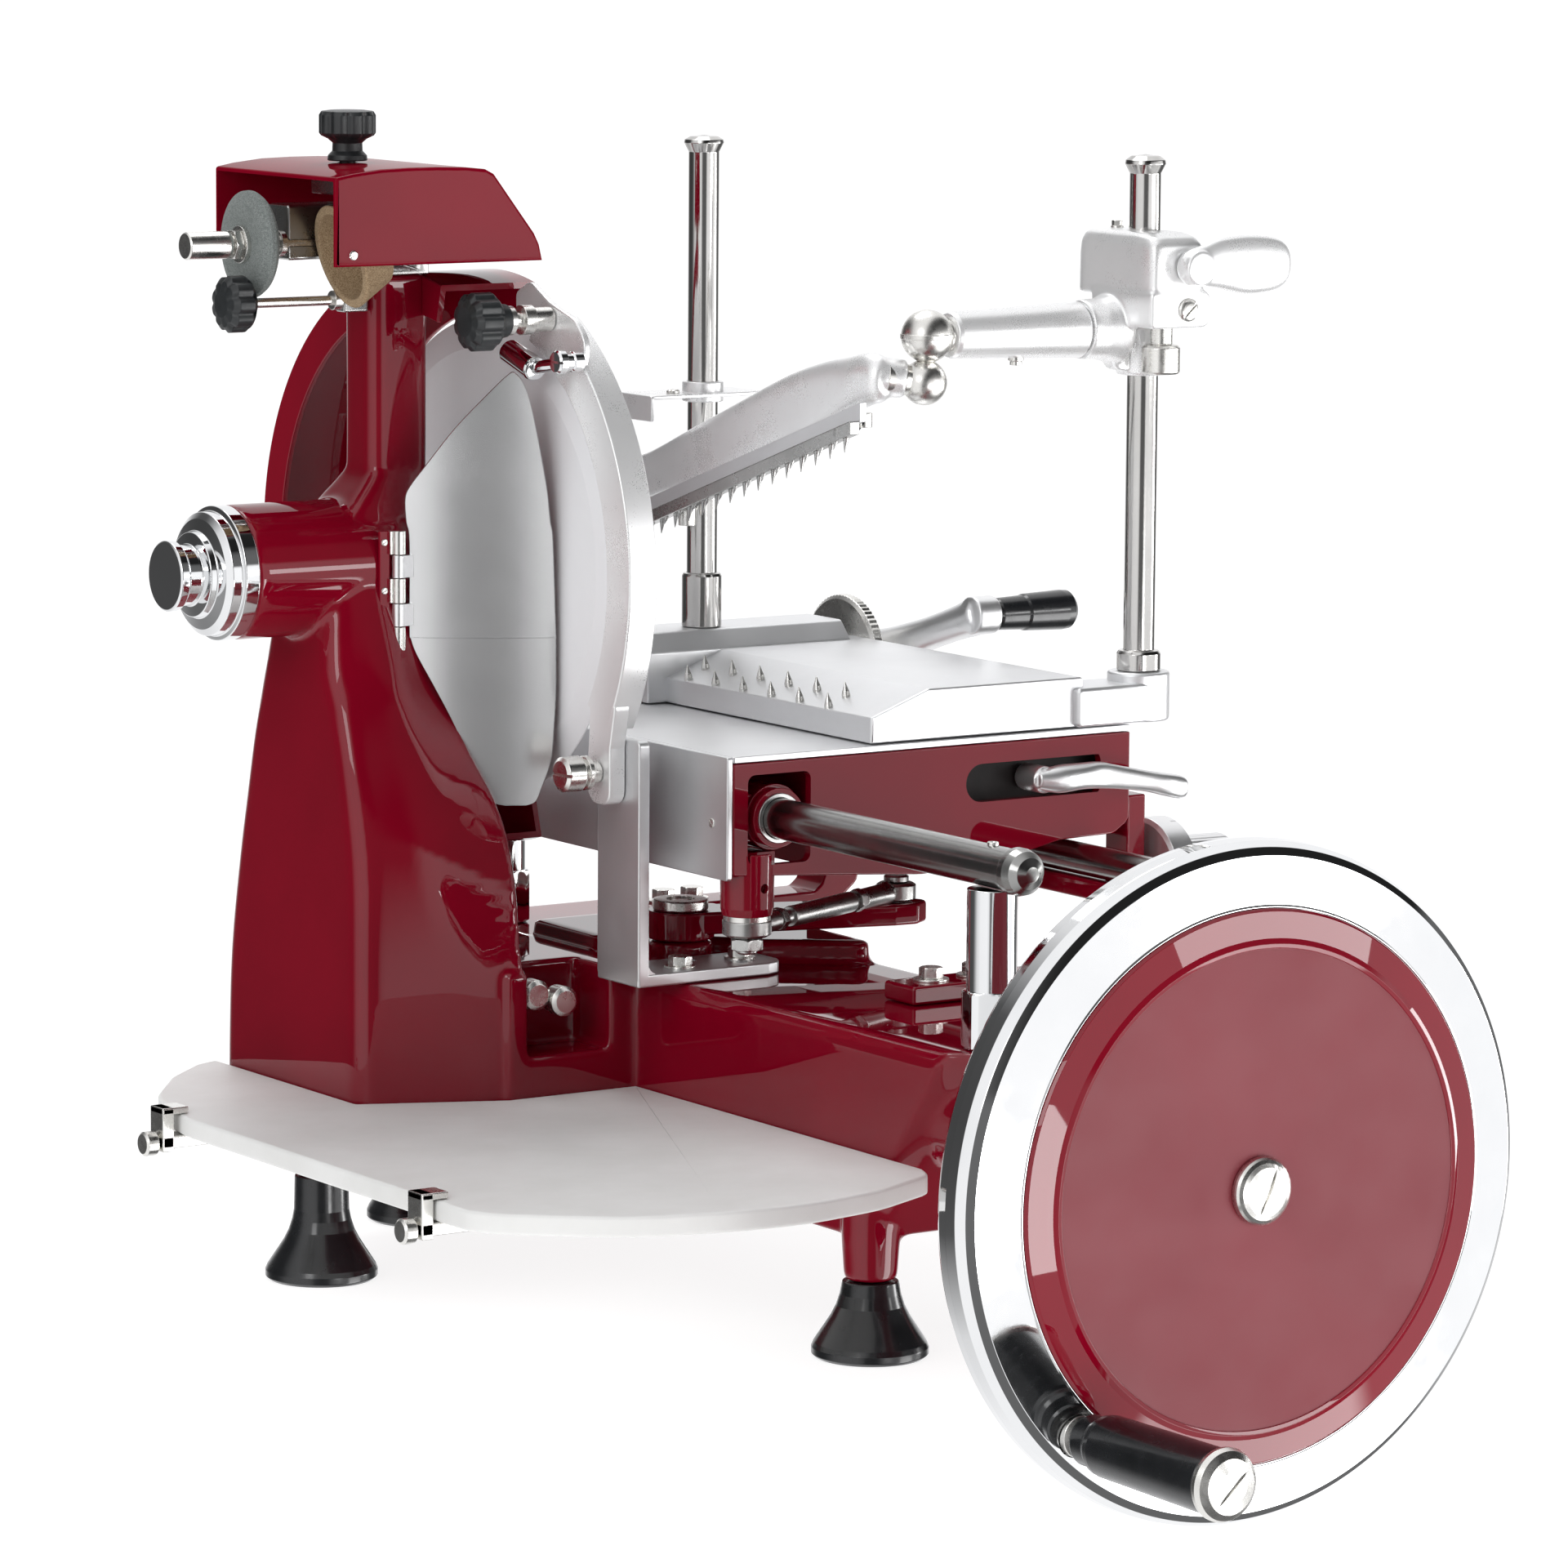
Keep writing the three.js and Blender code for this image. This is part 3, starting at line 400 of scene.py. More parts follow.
# ------------------------------------------------------------------ materials
class Graph:
    def __init__(self, name):
        self.material = bpy.data.materials.new(name)
        self.material.use_nodes = True
        self.tree = self.material.node_tree
        self.shader = self.tree.nodes["Principled BSDF"]

    def set(self, **values):
        for key, value in values.items():
            self.shader.inputs[key.replace("_", " ")].default_value = value
        return self

    def coords(self, scale=(1, 1, 1), rotation=(0, 0, 0)):
        c = self.tree.nodes.new("ShaderNodeTexCoord")
        m = self.tree.nodes.new("ShaderNodeMapping")
        m.inputs["Scale"].default_value = scale
        m.inputs["Rotation"].default_value = rotation
        self.tree.links.new(c.outputs["Object"], m.inputs["Vector"])
        return m.outputs["Vector"]

    def noise(self, scale, detail=4, rough=0.55, vector=None, distortion=0.0):
        n = self.tree.nodes.new("ShaderNodeTexNoise")
        n.inputs["Scale"].default_value = scale
        n.inputs["Detail"].default_value = detail
        n.inputs["Roughness"].default_value = rough
        n.inputs["Distortion"].default_value = distortion
        self.tree.links.new(vector or self.coords(), n.inputs["Vector"])
        return n.outputs["Fac"]

    def cells(self, scale, vector=None, feature="F1"):
        n = self.tree.nodes.new("ShaderNodeTexVoronoi")
        n.feature = feature
        n.inputs["Scale"].default_value = scale
        self.tree.links.new(vector or self.coords(), n.inputs["Vector"])
        return n.outputs["Distance"]

    def ramp(self, value, stops):
        r = self.tree.nodes.new("ShaderNodeValToRGB")
        e = r.color_ramp.elements
        while len(e) < len(stops):
            e.new(0.5)
        for k, (at, colour) in enumerate(stops):
            e[k].position = at
            e[k].color = (*colour, 1)
        self.tree.links.new(value, r.inputs["Fac"])
        return r.outputs["Color"]

    def span(self, value, low, high, a=0.3, b=0.7):
        m = self.tree.nodes.new("ShaderNodeMapRange")
        m.inputs["From Min"].default_value = a
        m.inputs["From Max"].default_value = b
        m.inputs["To Min"].default_value = low
        m.inputs["To Max"].default_value = high
        self.tree.links.new(value, m.inputs["Value"])
        return m.outputs["Result"]

    def math(self, operation, a, b):
        m = self.tree.nodes.new("ShaderNodeMath")
        m.operation = operation
        for k, x in enumerate((a, b)):
            if isinstance(x, (int, float)):
                m.inputs[k].default_value = x
            else:
                self.tree.links.new(x, m.inputs[k])
        return m.outputs[0]

    def bump(self, height, strength, distance, before=None):
        b = self.tree.nodes.new("ShaderNodeBump")
        b.inputs["Strength"].default_value = strength
        b.inputs["Distance"].default_value = distance
        self.tree.links.new(height, b.inputs["Height"])
        if before is not None:
            self.tree.links.new(before, b.inputs["Normal"])
        return b.outputs["Normal"]

    def feed(self, **sockets):
        for key, socket in sockets.items():
            self.tree.links.new(socket, self.shader.inputs[key.replace("_", " ")])
        return self.material


def enamel(name, low, high, rough, coat, coat_rough=0.025, coat_ior=1.47, gloss=0.12):
    g = Graph(name).set(Coat_Weight=coat, Coat_Roughness=coat_rough, Coat_IOR=coat_ior, Specular_IOR_Level=gloss, IOR=1.5)
    patches = g.noise(7, 3, 0.5)
    colour = g.ramp(patches, [(0.35, low), (0.65, high)])
    peel = g.noise(230, 2, 0.5)
    fine = g.noise(1400, 3, 0.6)
    normal = g.bump(peel, 0.05, 0.0006)
    normal = g.bump(fine, 0.02, 0.0001, normal)
    return g.feed(Base_Color=colour, Roughness=g.span(g.noise(26, 5, 0.6), rough[0], rough[1]), Normal=normal)


def metal(name, low, high, rough, grain, strength, patch=9, metallic=1.0, distance=0.0002):
    """Metal whose grain is a stretched noise: grain is its scale along x, y, z."""
    g = Graph(name).set(Metallic=metallic)
    colour = g.ramp(g.noise(patch, 5, 0.6), [(0.3, low), (0.7, high)])
    brushed = g.noise(1, 4, 0.6, g.coords(grain))
    r = g.math("ADD", g.span(g.noise(patch * 2.3, 5, 0.6), rough[0], rough[1]), g.span(brushed, -0.03, 0.03))
    return g.feed(Base_Color=colour, Roughness=r, Normal=g.bump(brushed, strength, distance))


def grit(name, low, mid, high, scale, rough=0.95):
    g = Graph(name).set(Specular_IOR_Level=0.3, Roughness=rough)
    grains = g.cells(scale)
    cloud = g.noise(scale * 0.35, 6, 0.7)
    mixed = g.math("ADD", g.math("MULTIPLY", grains, 0.6), g.math("MULTIPLY", cloud, 0.6))
    colour = g.ramp(mixed, [(0.3, low), (0.5, mid), (0.75, high)])
    return g.feed(Base_Color=colour, Normal=g.bump(mixed, 0.55, 0.0006))


M = {}
M["red"] = enamel("red_enamel", (0.190, 0.0008, 0.0105), (0.228, 0.0012, 0.0130), (0.4, 0.5), 1.0, 0.018, 1.5, 0.0)
M["cover"] = enamel("cover_enamel", (0.190, 0.0008, 0.0105), (0.228, 0.0012, 0.0130), (0.4, 0.5), 0.5, 0.018, 1.24, 0.0)
M["disc"] = enamel("disc_enamel", (0.165, 0.006, 0.015), (0.182, 0.007, 0.018), (0.46, 0.56), 0.12, 0.45, 1.5, 0.5)
M["chrome"] = metal("chrome", (0.80, 0.81, 0.82), (0.86, 0.865, 0.87), (0.03, 0.07), (60, 60, 60), 0.01, 12)
M["plated"] = metal("plated_posts", (0.56, 0.55, 0.535), (0.64, 0.63, 0.615), (0.09, 0.14), (900, 900, 900), 0.004, 14)
M["satin"] = metal("satin_aluminium", (0.76, 0.765, 0.775), (0.82, 0.825, 0.835), (0.36, 0.44), (1500, 120, 1500), 0.012, 8, 0.85)
M["sheet"] = metal("rolled_sheet", (0.84, 0.845, 0.85), (0.90, 0.903, 0.906), (0.20, 0.25), (2600, 2600, 2600), 0.002, 8, 0.85)
M["cast"] = metal("cast_aluminium", (0.80, 0.803, 0.808), (0.86, 0.863, 0.868), (0.28, 0.38), (700, 700, 700), 0.02, 14, 0.88)
M["polished"] = metal("polished_aluminium", (0.87, 0.873, 0.875), (0.93, 0.932, 0.934), (0.25, 0.34), (1500, 1500, 1500), 0.004, 10, 0.5)
M["blade"] = metal("blade_steel", (0.86, 0.865, 0.885), (0.91, 0.915, 0.93), (0.48, 0.56), (300, 300, 300), 0.004, 10, 0.2)
M["steel"] = metal("steel", (0.42, 0.42, 0.41), (0.54, 0.54, 0.53), (0.24, 0.34), (900, 900, 900), 0.01, 20)
M["rodsteel"] = metal("ground_steel", (0.30, 0.30, 0.295), (0.37, 0.37, 0.36), (0.16, 0.24), (90, 1600, 90), 0.04, 16)
M["bright"] = metal("plated_screws", (0.74, 0.73, 0.70), (0.84, 0.83, 0.80), (0.22, 0.32), (300, 300, 300), 0.01, 30)

g = Graph("black_plastic").set(Coat_Weight=0.35, Coat_Roughness=0.12, Specular_IOR_Level=0.5)
M["plastic"] = g.feed(
    Base_Color=g.ramp(g.noise(40, 4, 0.6), [(0.3, (0.007, 0.008, 0.009)), (0.7, (0.014, 0.015, 0.017))]),
    Roughness=g.span(g.noise(90, 5, 0.6), 0.16, 0.30), Normal=g.bump(g.noise(900, 3, 0.6), 0.06, 0.0002))
g = Graph("knob_plastic").set(Coat_Weight=0.05, Coat_Roughness=0.3, Specular_IOR_Level=0.5)
M["knob"] = g.feed(
    Base_Color=g.ramp(g.noise(60, 4, 0.6), [(0.3, (0.010, 0.012, 0.013)), (0.7, (0.022, 0.025, 0.027))]),
    Roughness=g.span(g.noise(120, 5, 0.6), 0.34, 0.5), Normal=g.bump(g.noise(1500, 3, 0.7), 0.12, 0.0003))
g = Graph("white_board").set(Specular_IOR_Level=0.35, Subsurface_Weight=0.15, Subsurface_Radius=(0.01, 0.01, 0.01), Subsurface_Scale=0.3)
M["board"] = g.feed(
    Base_Color=g.ramp(g.noise(18, 5, 0.6), [(0.3, (0.80, 0.80, 0.785)), (0.7, (0.86, 0.86, 0.85))]),
    Roughness=g.span(g.noise(60, 5, 0.6), 0.42, 0.56), Normal=g.bump(g.noise(700, 4, 0.65), 0.10, 0.0003))
M["stone"] = grit("grey_stone", (0.10, 0.115, 0.11), (0.16, 0.18, 0.175), (0.26, 0.28, 0.27), 1600)
M["brown"] = grit("brown_stone", (0.13, 0.085, 0.045), (0.26, 0.175, 0.10), (0.42, 0.31, 0.19), 1500)
# Near-black paint, used only for the sheet behind the carriage's slot: painted shade standing in for the dark inside of
# the carriage, not a real finish.
g = Graph("slot_shade_black").set(Specular_IOR_Level=0.3, Roughness=0.6)
M["dark"] = g.feed(Base_Color=g.ramp(g.noise(40, 4, 0.6), [(0.3, (0.012, 0.010, 0.010)), (0.7, (0.022, 0.019, 0.019))]), Normal=g.bump(g.noise(500, 4, 0.6), 0.2, 0.0004))


def piece(name, shape, look, body, nodes=(), angle=40, weighted=True):
    me = to_mesh(shape, name, 0.001)
    ob = bpy.data.objects.new(name, me)
    scene.collection.objects.link(ob)
    me.materials.append(M[look])
    me.polygons.foreach_set("use_smooth", [True] * len(me.polygons))
    if angle < 180:
        me.set_sharp_from_angle(angle=math.radians(angle))
    if weighted:
        m = ob.modifiers.new("normals", "WEIGHTED_NORMAL")
        m.keep_sharp = True
    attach(ob, body)
    if nodes:
        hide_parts(*nodes)
    return ob


def painted(node, look):
    """A carried-over CAD node with its own finish."""
    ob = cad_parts[node]
    ob.data.materials.clear()
    ob.data.materials.append(M[look])


# ------------------------------------------------------------------ base casting
ROWS = [
    [72, -144, 86, -62, 122, -30, 124, 84], [150, -144, 86, -72, 113, -42, 122, 83], [205, -144, 86, -84, 108, -46, 121, 79],
    [262, -144, 85, -97, 104.5, -46, 111, 68], [300, -144, 79.5, -101, 95.5, -46, 94, 59], [338, -144, 71, -102, 81, -56, 72, 50],
    [365, -143, 61, -103, 70, -60, 54, 43], [392, -141, 47, -104, 58, -62, 42, 37], [448, -132, 35, -108, 40, -60, 30, 33],
    [480, -118, 28, -90, 30, -57, 25, 28], [505, -97, 21, -74, 22, -55.5, 20.5, 21], [515, -95, 20, -70, 20.4, -55, 20, 20], [628, -95, 20, -70, 20.4, -55, 20, 20],
]


def ridged(corners, z):
    """A ring whose corners are rounded by the third number of each, always with the same count of points."""
    out = []
    for i, (x, y, t) in enumerate(corners):
        b = Vector((x, y))
        u, v = Vector(corners[i - 1][:2]) - b, Vector(corners[(i + 1) % len(corners)][:2]) - b
        p0, p1 = b + u.normalized() * min(t, u.length * 0.45), b + v.normalized() * min(t, v.length * 0.45)
        for k in range(6):
            f = k / 5
            q = p0 * (1 - f) ** 2 + b * (2 * f * (1 - f)) + p1 * f ** 2
            out.append((q.x, q.y, z))
    return out


column = loft([ridged([(xl, -yl, 12), (xm, -ym, 13), (xr, -yr, 3), (xr, min(yr, yl * 0.55 + yb * 0.5 + 8), 3), (xm, ym - yl + yb, 13), (xl, yb, 12)], z) for z, xl, yl, xm, ym, xr, yr, yb in smooth_rows(ROWS, 6)])


def plan(x0, x1, y0, y1, c, z):
    return [(x0 + c, y0, z), (x1 - c, y0, z), (x1, y0 + c, z), (x1, y1 - c, z), (x1 - c, y1, z), (x0 + c, y1, z), (x0, y1 - c, z), (x0, y0 + c, z)]


shoulder = block(-58, 40, -122, 122, 72, 203)
beam = loft([plan(35, 190, -374, 146, 12, 72), plan(35, 190, -374, 146, 12, 189), plan(39, 186, -370, 142, 12, 197)])
snout = loft([plan(35, 123, -374, -250, 10, 72), plan(35, 123, -420, -250, 14, 130), plan(35, 123, -462, -250, 16, 189), plan(40, 118, -470, -250, 16, 197)])
nose = lathe("y", SHAFT, [(-474, 0), (-474, 34), (-400, 36), (-400, 0)], 64)
plateau = prism("z", [(44, -60), (60, -84), (100, -100), (122, -128), (176, -168), (184, -160), (184, 20), (44, 20)], 190, 211, 2, 6)
body = union(
    column, shoulder, beam, snout, nose, plateau, rod("z", ROCKER, 185, 212.5, 20), rod("x", (0, AXIS_Z), -187, -80, 41.6, 96), rod("x", (0, AXIS_Z), -81, -14, 38.4, 96),
    *[lathe("z", xy, [(66 if n == "foot_column" else 46.3, 0), (66 if n == "foot_column" else 46.3, 16), (74, 17.8), (110, 17.8), (110, 0)], 48) for n, xy in FEET.items()])


def hole(z, xl, yl, xr, yr):
    return [(xl, -yl, z), (xr, -yr, z), (xr, yr, z), (xl, yl, z)]


inside = loft([hole(66, -137, 76, -53, 104), hole(205, -137, 70, -53, 92), hole(300, -136, 51, -53, 62), hole(365, -133, 36, -66, 38), hole(392, -130, 31, -67, 30), hole(420, -126, 28, -67, 27), hole(470, -112, 27.6, -67, 27.6)])
body = cut(
    body, inside, block(-53.5, 36, -114, 114, 60, 145), block(-53.5, 36, -72, 72, 60, 190), block(30, 45, -72, 72, 60, 190),
    loft([plan(41, 184, -368, 140, 16, 60), plan(41, 184, -368, 140, 16, 190)]), rod("x", (0, AXIS_Z), -200, -10, 33.2, 72),
    block(-44, 15, -130, -80, 151, 215))
body = union(body, *[lathe("z", xy, [(66 if n == "foot_column" else 46.3, 0), (66 if n == "foot_column" else 46.3, 16), (74, 17.8), (102, 17.8), (102, 0)], 48) for n, xy in FEET.items()])
body = union(body, rod("x", (0, SHAFT[1]), -140, -106, 16), block(10, 103, -60, -50, 122, 191), block(10, 20, -60, 24, 126, 191))
body = cut(body, rod("x", (0, SHAFT[1]), -130, -100, 8.8), rod("y", SHAFT, -70, -40, 10.8), rod("x", (0, SHAFT[1]), 0, 30, 8.8), rod("y", SHAFT, -520, -360, 17))
piece("casting", cast(body, 2.2, 9), "red", "base", ["base_casting"], 180, False)

for name, (x, y) in FEET.items():
    top = 65.7 if name == "foot_column" else 46
    piece(name + "_moulded", lathe("z", (x, y), [
        (0, 0), (0, 33), (2, 35.3), (6, 35.3), (9, 34), (13, 31.4), (19, 27.4), (25, 23.6), (31, 20.6), (38, 18.4), (44, 17.3), (top, 16.8), (top, 0)], 80, 1.0)
        + rod("z", (x, y), top - 1, 90, 5, 24), "plastic", "base", [name], 55)

# ------------------------------------------------------------------ hub, blade and guards
piece("hub_cap_turned", lathe("x", (0, AXIS_Z), [
    (-186.3, 0), (-186.3, 41.5), (-196, 41.5), (-197, 38.4), (-203, 38), (-206, 34), (-208, 27), (-212, 26), (-213.5, 19), (-222, 18.6), (-224, 21.6), (-229, 21.8), (-230, 20.4), (-230, 0)], 128, 1.0), "chrome", "base", ["hub_cap"])
piece("blade_ground", lathe("x", (0, AXIS_Z), [
    (-5, 13.4), (-5, 58), (-2.4, 66), (-2.2, 131), (1.6, 149.4), (2.2, 149.95), (2.4, 149.4), (0.6, 120), (0.6, 60), (3, 56), (3, 13.4), (-5, 13.4)], 256, 0.3), "blade", "blade_set", ["blade"], 20)
ring = []
for i in range(16):
    for f, r in ((-0.3, 18.5), (-0.12, 22.5), (0.12, 22.5), (0.3, 18.5)):
        ring.append((r * math.cos((i + f) * math.pi / 8), AXIS_Z + r * math.sin((i + f) * math.pi / 8)))
hub = lathe("x", (0, AXIS_Z), [(-183, 0), (-183, 10), (-12, 10), (-12, 34), (-5.4, 34), (-5.4, 13), (4, 13), (4, 24), (9, 22), (11, 14), (11, 0)], 80)
for i in range(3):
    t = 2 * math.pi * i / 3 + 0.5
    hub = hub + pan_screw((3, 36 * math.cos(t), AXIS_Z + 36 * math.sin(t)), (1, 0, 0), 5, 1.6, t)
piece("blade_shaft_turned", hub + prism("x", ring, -77.5, -72.5, 0.4, 0.5), "steel", "blade_set", ["blade_shaft"])
piece("hub_bearing_ring", tube("x", (0, AXIS_Z), -36, -16, 10.4, 16) + tube("x", (0, AXIS_Z), -36, -16, 27, 32.5) + tube("x", (0, AXIS_Z), -33, -19, 15.5, 27.5), "steel", "base", ["hub_bearing"])
guard = union(
    arc([(-60, 176), (8, 176), (8, 180), (-60, 180)], -14, 197, 110, 1.2),
    arc([(-60, 156), (-56, 156), (-56, 178), (-60, 178)], -14, 197, 110, 1.0),
    arc([(4.5, 154), (8, 154), (8, 178), (4.5, 178)], -14, 197, 110, 1.0))
guard = cut(guard, block(-70, -54.6, -20.8, 20.8, 590, 640), block(-70, -45.6, -130, 130, 200, 352))
piece("rear_guard_channel", guard, "red", "base", ["rear_blade_guard"], 35)

crescent = arc([(-8, 152.5), (-3.2, 152.5), (-3.2, 173.5), (12, 173.5), (12, 179), (-8, 179)], -24, -121, 96, 1.4)
ear = prism("x", [(-46.5, 600, 7), (-46, 617, 5), (-62, 625, 8), (-85, 613, 14), (-114, 604.5, 16), (-130, 590, 16), (-120, 568, 4), (-100, 562, 4), (-66, 590, 14)], -8, -3.4, 1.2, 9)
leg = prism("x", [(-157, 309, 9), (-131.4, 309, 9), (-131.4, 340), (-134, 372), (-144, 384), (-163, 372), (-157, 345)], -7.8, 3.6, 1.4, 6)
guard = cut(union(crescent, ear, leg), rod("x", (-87, 603), -20, 0, 5.4), rod("x", (-143, 329), -20, 8, 5.4))
piece("front_guard_cast", guard, "polished", "base", ["front_guard"], 32)

bracket = union(box(4, 12, -172, -124, 199, 350, 1.2, "x", 4), prism("z", [(4, -172, 2), (100, -172), (110, -168), (115, -160), (115, -136), (110, -128), (100, -124), (4, -124, 2)], 197.4, 205, 1.2, 6))
fillet_bar = loft([[(12 - 0.6, y, 205 + 6), (12 - 0.6, y, 204.6), (12 + 6, y, 204.6), (12 + 2.0, y, 205 + 2.0)] for y in (-171, -125)])
bracket = cut(union(bracket, fillet_bar), rod("x", (-143, 329), 0, 20, 5.4), rod("z", (88, -160), 190, 210, 4), rod("z", (64, -138), 190, 210, 4))
piece("guard_bracket_bent", bracket, "satin", "base", ["guard_bracket"], 32)
piece("bracket_bolts", bolt((44, -157, 205), (0, 0, 1), 13, 6) + bolt((94, -148, 205), (0, 0, 1), 13, 6), "bright", "base")


def lobes(count, depth, a0, a1):
    """Flutes round a knob between two positions."""

    def wave(t, a, r):
        if not a0 <= a <= a1:
            return r
        k = 0.5 + 0.5 * math.cos(count * t)
        return r * (1 - depth * k ** 2.6)

    return wave


piece("guard_knob_moulded", lathe("x", (-87, 603), [
    (-70, 0), (-69.6, 9), (-68.5, 14.5), (-65.5, 18), (-52, 18), (-49, 15), (-46.5, 11), (-40, 10), (-40, 0)], 144, 1.0, lobes(9, 0.13, -68.6, -50)), "knob", "guard_knob_set", ["guard_knob"], 50)
piece("guard_knob_collar", lathe("x", (-87, 603), [
    (-41, 0), (-41, 9), (-36, 9), (-36, 5.2), (-30, 5.2), (-30, 9.2), (-22, 9.2), (-22, 7.6), (-8.6, 7.6), (-8.6, 5), (-3.5, 5), (-3.5, 0)], 64, 0.6), "bright", "guard_knob_set")
head = lathe("x", (-143, 329), [(-35, 0), (-35, 8.4), (-33.4, 10.8), (-22, 11), (-20, 7.4), (-18.6, 10.6), (-15.4, 10.6), (-14.6, 7), (-8.5, 7), (-8.5, 5), (15, 5), (15, 0)], 72, 0.6, lambda t, a, r: r - (0.35 if -32.6 < a < -23 and math.cos(36 * t) > 0 else 0))
piece("guard_nut_turned", cut(head, block(-36, -32.6, -158, -128, 328, 330)), "bright", "guard_nut_set", ["guard_nut"], 35)
latch = spindle((-17.5, -54, 581.5), (0, -32, -9.5), [(0, 0), (0, 6.4), (1.2, 7.6), (31.4, 8), (32.8, 7.4), (33.4, 6.2), (33.4, 0)], 64, 0.6) + bar((-17.5, -122, 579.5), (-17.5, -84, 573), 4, 4, 32)
latch = latch + cut(lathe("x", (-123, 579.5), [(-27, 0), (-27, 6.2), (-25.6, 7.4), (-21, 7.4), (-20, 5.4), (-16, 5.4), (-15, 6.4), (-9, 6.4), (-8.8, 6), (-8.8, 0)], 56, 0.5), block(-28, -25.4, -132, -114, 578.7, 580.3))
piece("guard_latch_lever", latch, "chrome", "guard_latch_set", ["guard_latch"])

# slice deflector: a bowed sheet, hinged on the column's corner
DEFL_U, DEFL_N = (0.853, -0.522), (-0.522, -0.853)


def deflector_point(s, d, z):
    return (-88 + DEFL_U[0] * s + DEFL_N[0] * d, -40 + DEFL_U[1] * s + DEFL_N[1] * d, z)


LEFT = [(302, 67), (304.5, 57), (312, 51), (330, 43), (352, 34), (375, 22), (396, 10.5), (406, 6.8), (412, 6), (466, 6), (478, 4.2), (492, 3.5), (500, 6.5), (514, 17), (536, 34), (555, 52), (566, 63), (571, 69)]
RIGHT = [(302, 78), (304.5, 84.5), (312, 88), (330, 94), (352, 96), (375, 97), (396, 97), (406, 97), (412, 96.8), (466, 95), (478, 93.4), (492, 92), (500, 91), (514, 88.6), (536, 84.4), (555, 80), (566, 75.5), (571, 70.5)]
edge_l, edge_r = smooth_rows(LEFT, 5), smooth_rows(RIGHT, 5)


def deflector_sheet(thick):
    rows, cols = len(edge_l), 40
    v, f = [], []
    layers = ((0.4, 1.0), (0.9, 0.0), (thick - 0.5, 0.0), (thick, 1.0))
    for side, pull in ((0.4, 0.6), (thick, 0.6)):
        for k in range(rows):
            z = edge_l[k][0]
            sl, sr = edge_l[k][1] + pull, edge_r[k][1] - pull
            if k == 0:
                z += pull
            if k == rows - 1:
                z -= pull
            for i in range(cols):
                s = sl + (sr - sl) * i / (cols - 1)
                bow = 5 * math.sin(math.pi * min(max(s, 0), 96) / 97)
                v.append(deflector_point(s, side + bow, z))
    # the rim runs round both faces, a little outside them
    border = [k * cols for k in range(rows)] + [(rows - 1) * cols + i for i in range(1, cols)] + [k * cols + cols - 1 for k in range(rows - 2, -1, -1)] + [i for i in range(cols - 2, 0, -1)]
    n0 = rows * cols
    for k in range(rows - 1):
        for i in range(cols - 1):
            a, b, c, d = k * cols + i, k * cols + i + 1, (k + 1) * cols + i + 1, (k + 1) * cols + i
            f.append((a, b, c, d))
            f.append((n0 + d, n0 + c, n0 + b, n0 + a))
    rim = []
    for q in border:
        k, i = divmod(q, cols)
        z = edge_l[k][0]
        sl, sr = edge_l[k][1], edge_r[k][1]
        s = sl + (sr - sl) * i / (cols - 1)
        bow = 5 * math.sin(math.pi * min(max(s, 0), 96) / 97)
        rim.append(len(v))
        v.append(deflector_point(s, (0.4 + thick) / 2 + bow, z))
    m = len(border)
    for j in range(m):
        k = (j + 1) % m
        f.append((border[j], rim[j], rim[k], border[k]))
        f.append((rim[j], n0 + border[j], n0 + border[k], rim[k]))
    return Shape(v, f)


def knuckle(z0, z1, moving):
    out = lathe("z", (-92, -46.6), [(z0, 0), (z0, 4.2), (z1, 4.2), (z1, 0)], 32, 0.4)
    if moving:
        return union(out, prism("z", [(-92, -50.6), (-83, -49), (-80, -44.8), (-84, -43), (-91, -46)], z0 + 0.1, z1 - 0.1, 0.3, 0.5))
    return union(out, box(-98, -90, -46.6, -41.7, z0 + 0.1, z1 - 0.1, 0.3))


piece("deflector_plate", deflector_sheet(3) + knuckle(414, 428, True) + knuckle(444, 458, True), "sheet", "deflector_set", ["slice_deflector"], 50)
leaf = box(-104, -97, -44.4, -41.7, 399, 473, 0.6, "y") + box(-104, -97.5, -43, -38.4, 399, 411, 0.5)
hinge = Shape([], [])
for z0, z1 in ((399, 413.6), (428.4, 443.6), (458.4, 473)):
    hinge = hinge + knuckle(z0, z1, False)
for z in (406, 436, 466):
    hinge = hinge + pan_screw((-101, -44.3, z), (0, -1, 0), 2.2, 1.0, 0.5)
piece("deflector_hinge_leaf", leaf, "red", "base", ["deflector_hinge"])
piece("deflector_hinge_knuckles", hinge, "bright", "base")

# ------------------------------------------------------------------ drive train
shaft = rod("y", SHAFT, -696, -13, 10) + rod("y", SHAFT, -30, -15.5, 16) + rod("y", SHAFT, -192, -172, 26) + bar((SHAFT[0], -190, SHAFT[1] - 17), (SHAFT[0], -204, SHAFT[1] - 17), 5)


def bevel_gear(axis, centre, apex, side, pitch, distance, teeth, tip, root, keep, phase):
    def outline(k):
        out = []
        for i in range(teeth):
            for f, r in ((-0.27, root), (-0.13, tip), (0.13, tip), (0.27, root)):
                t = (i + phase + f) * 2 * math.pi / teeth
                out.append(((pitch + r) * k * math.cos(t), (pitch + r) * k * math.sin(t)))
        return out

    return loft([[place(axis, apex + side * distance * k, centre[0] + u, centre[1] + v) for u, v in outline(k)] for k in (1, keep)])


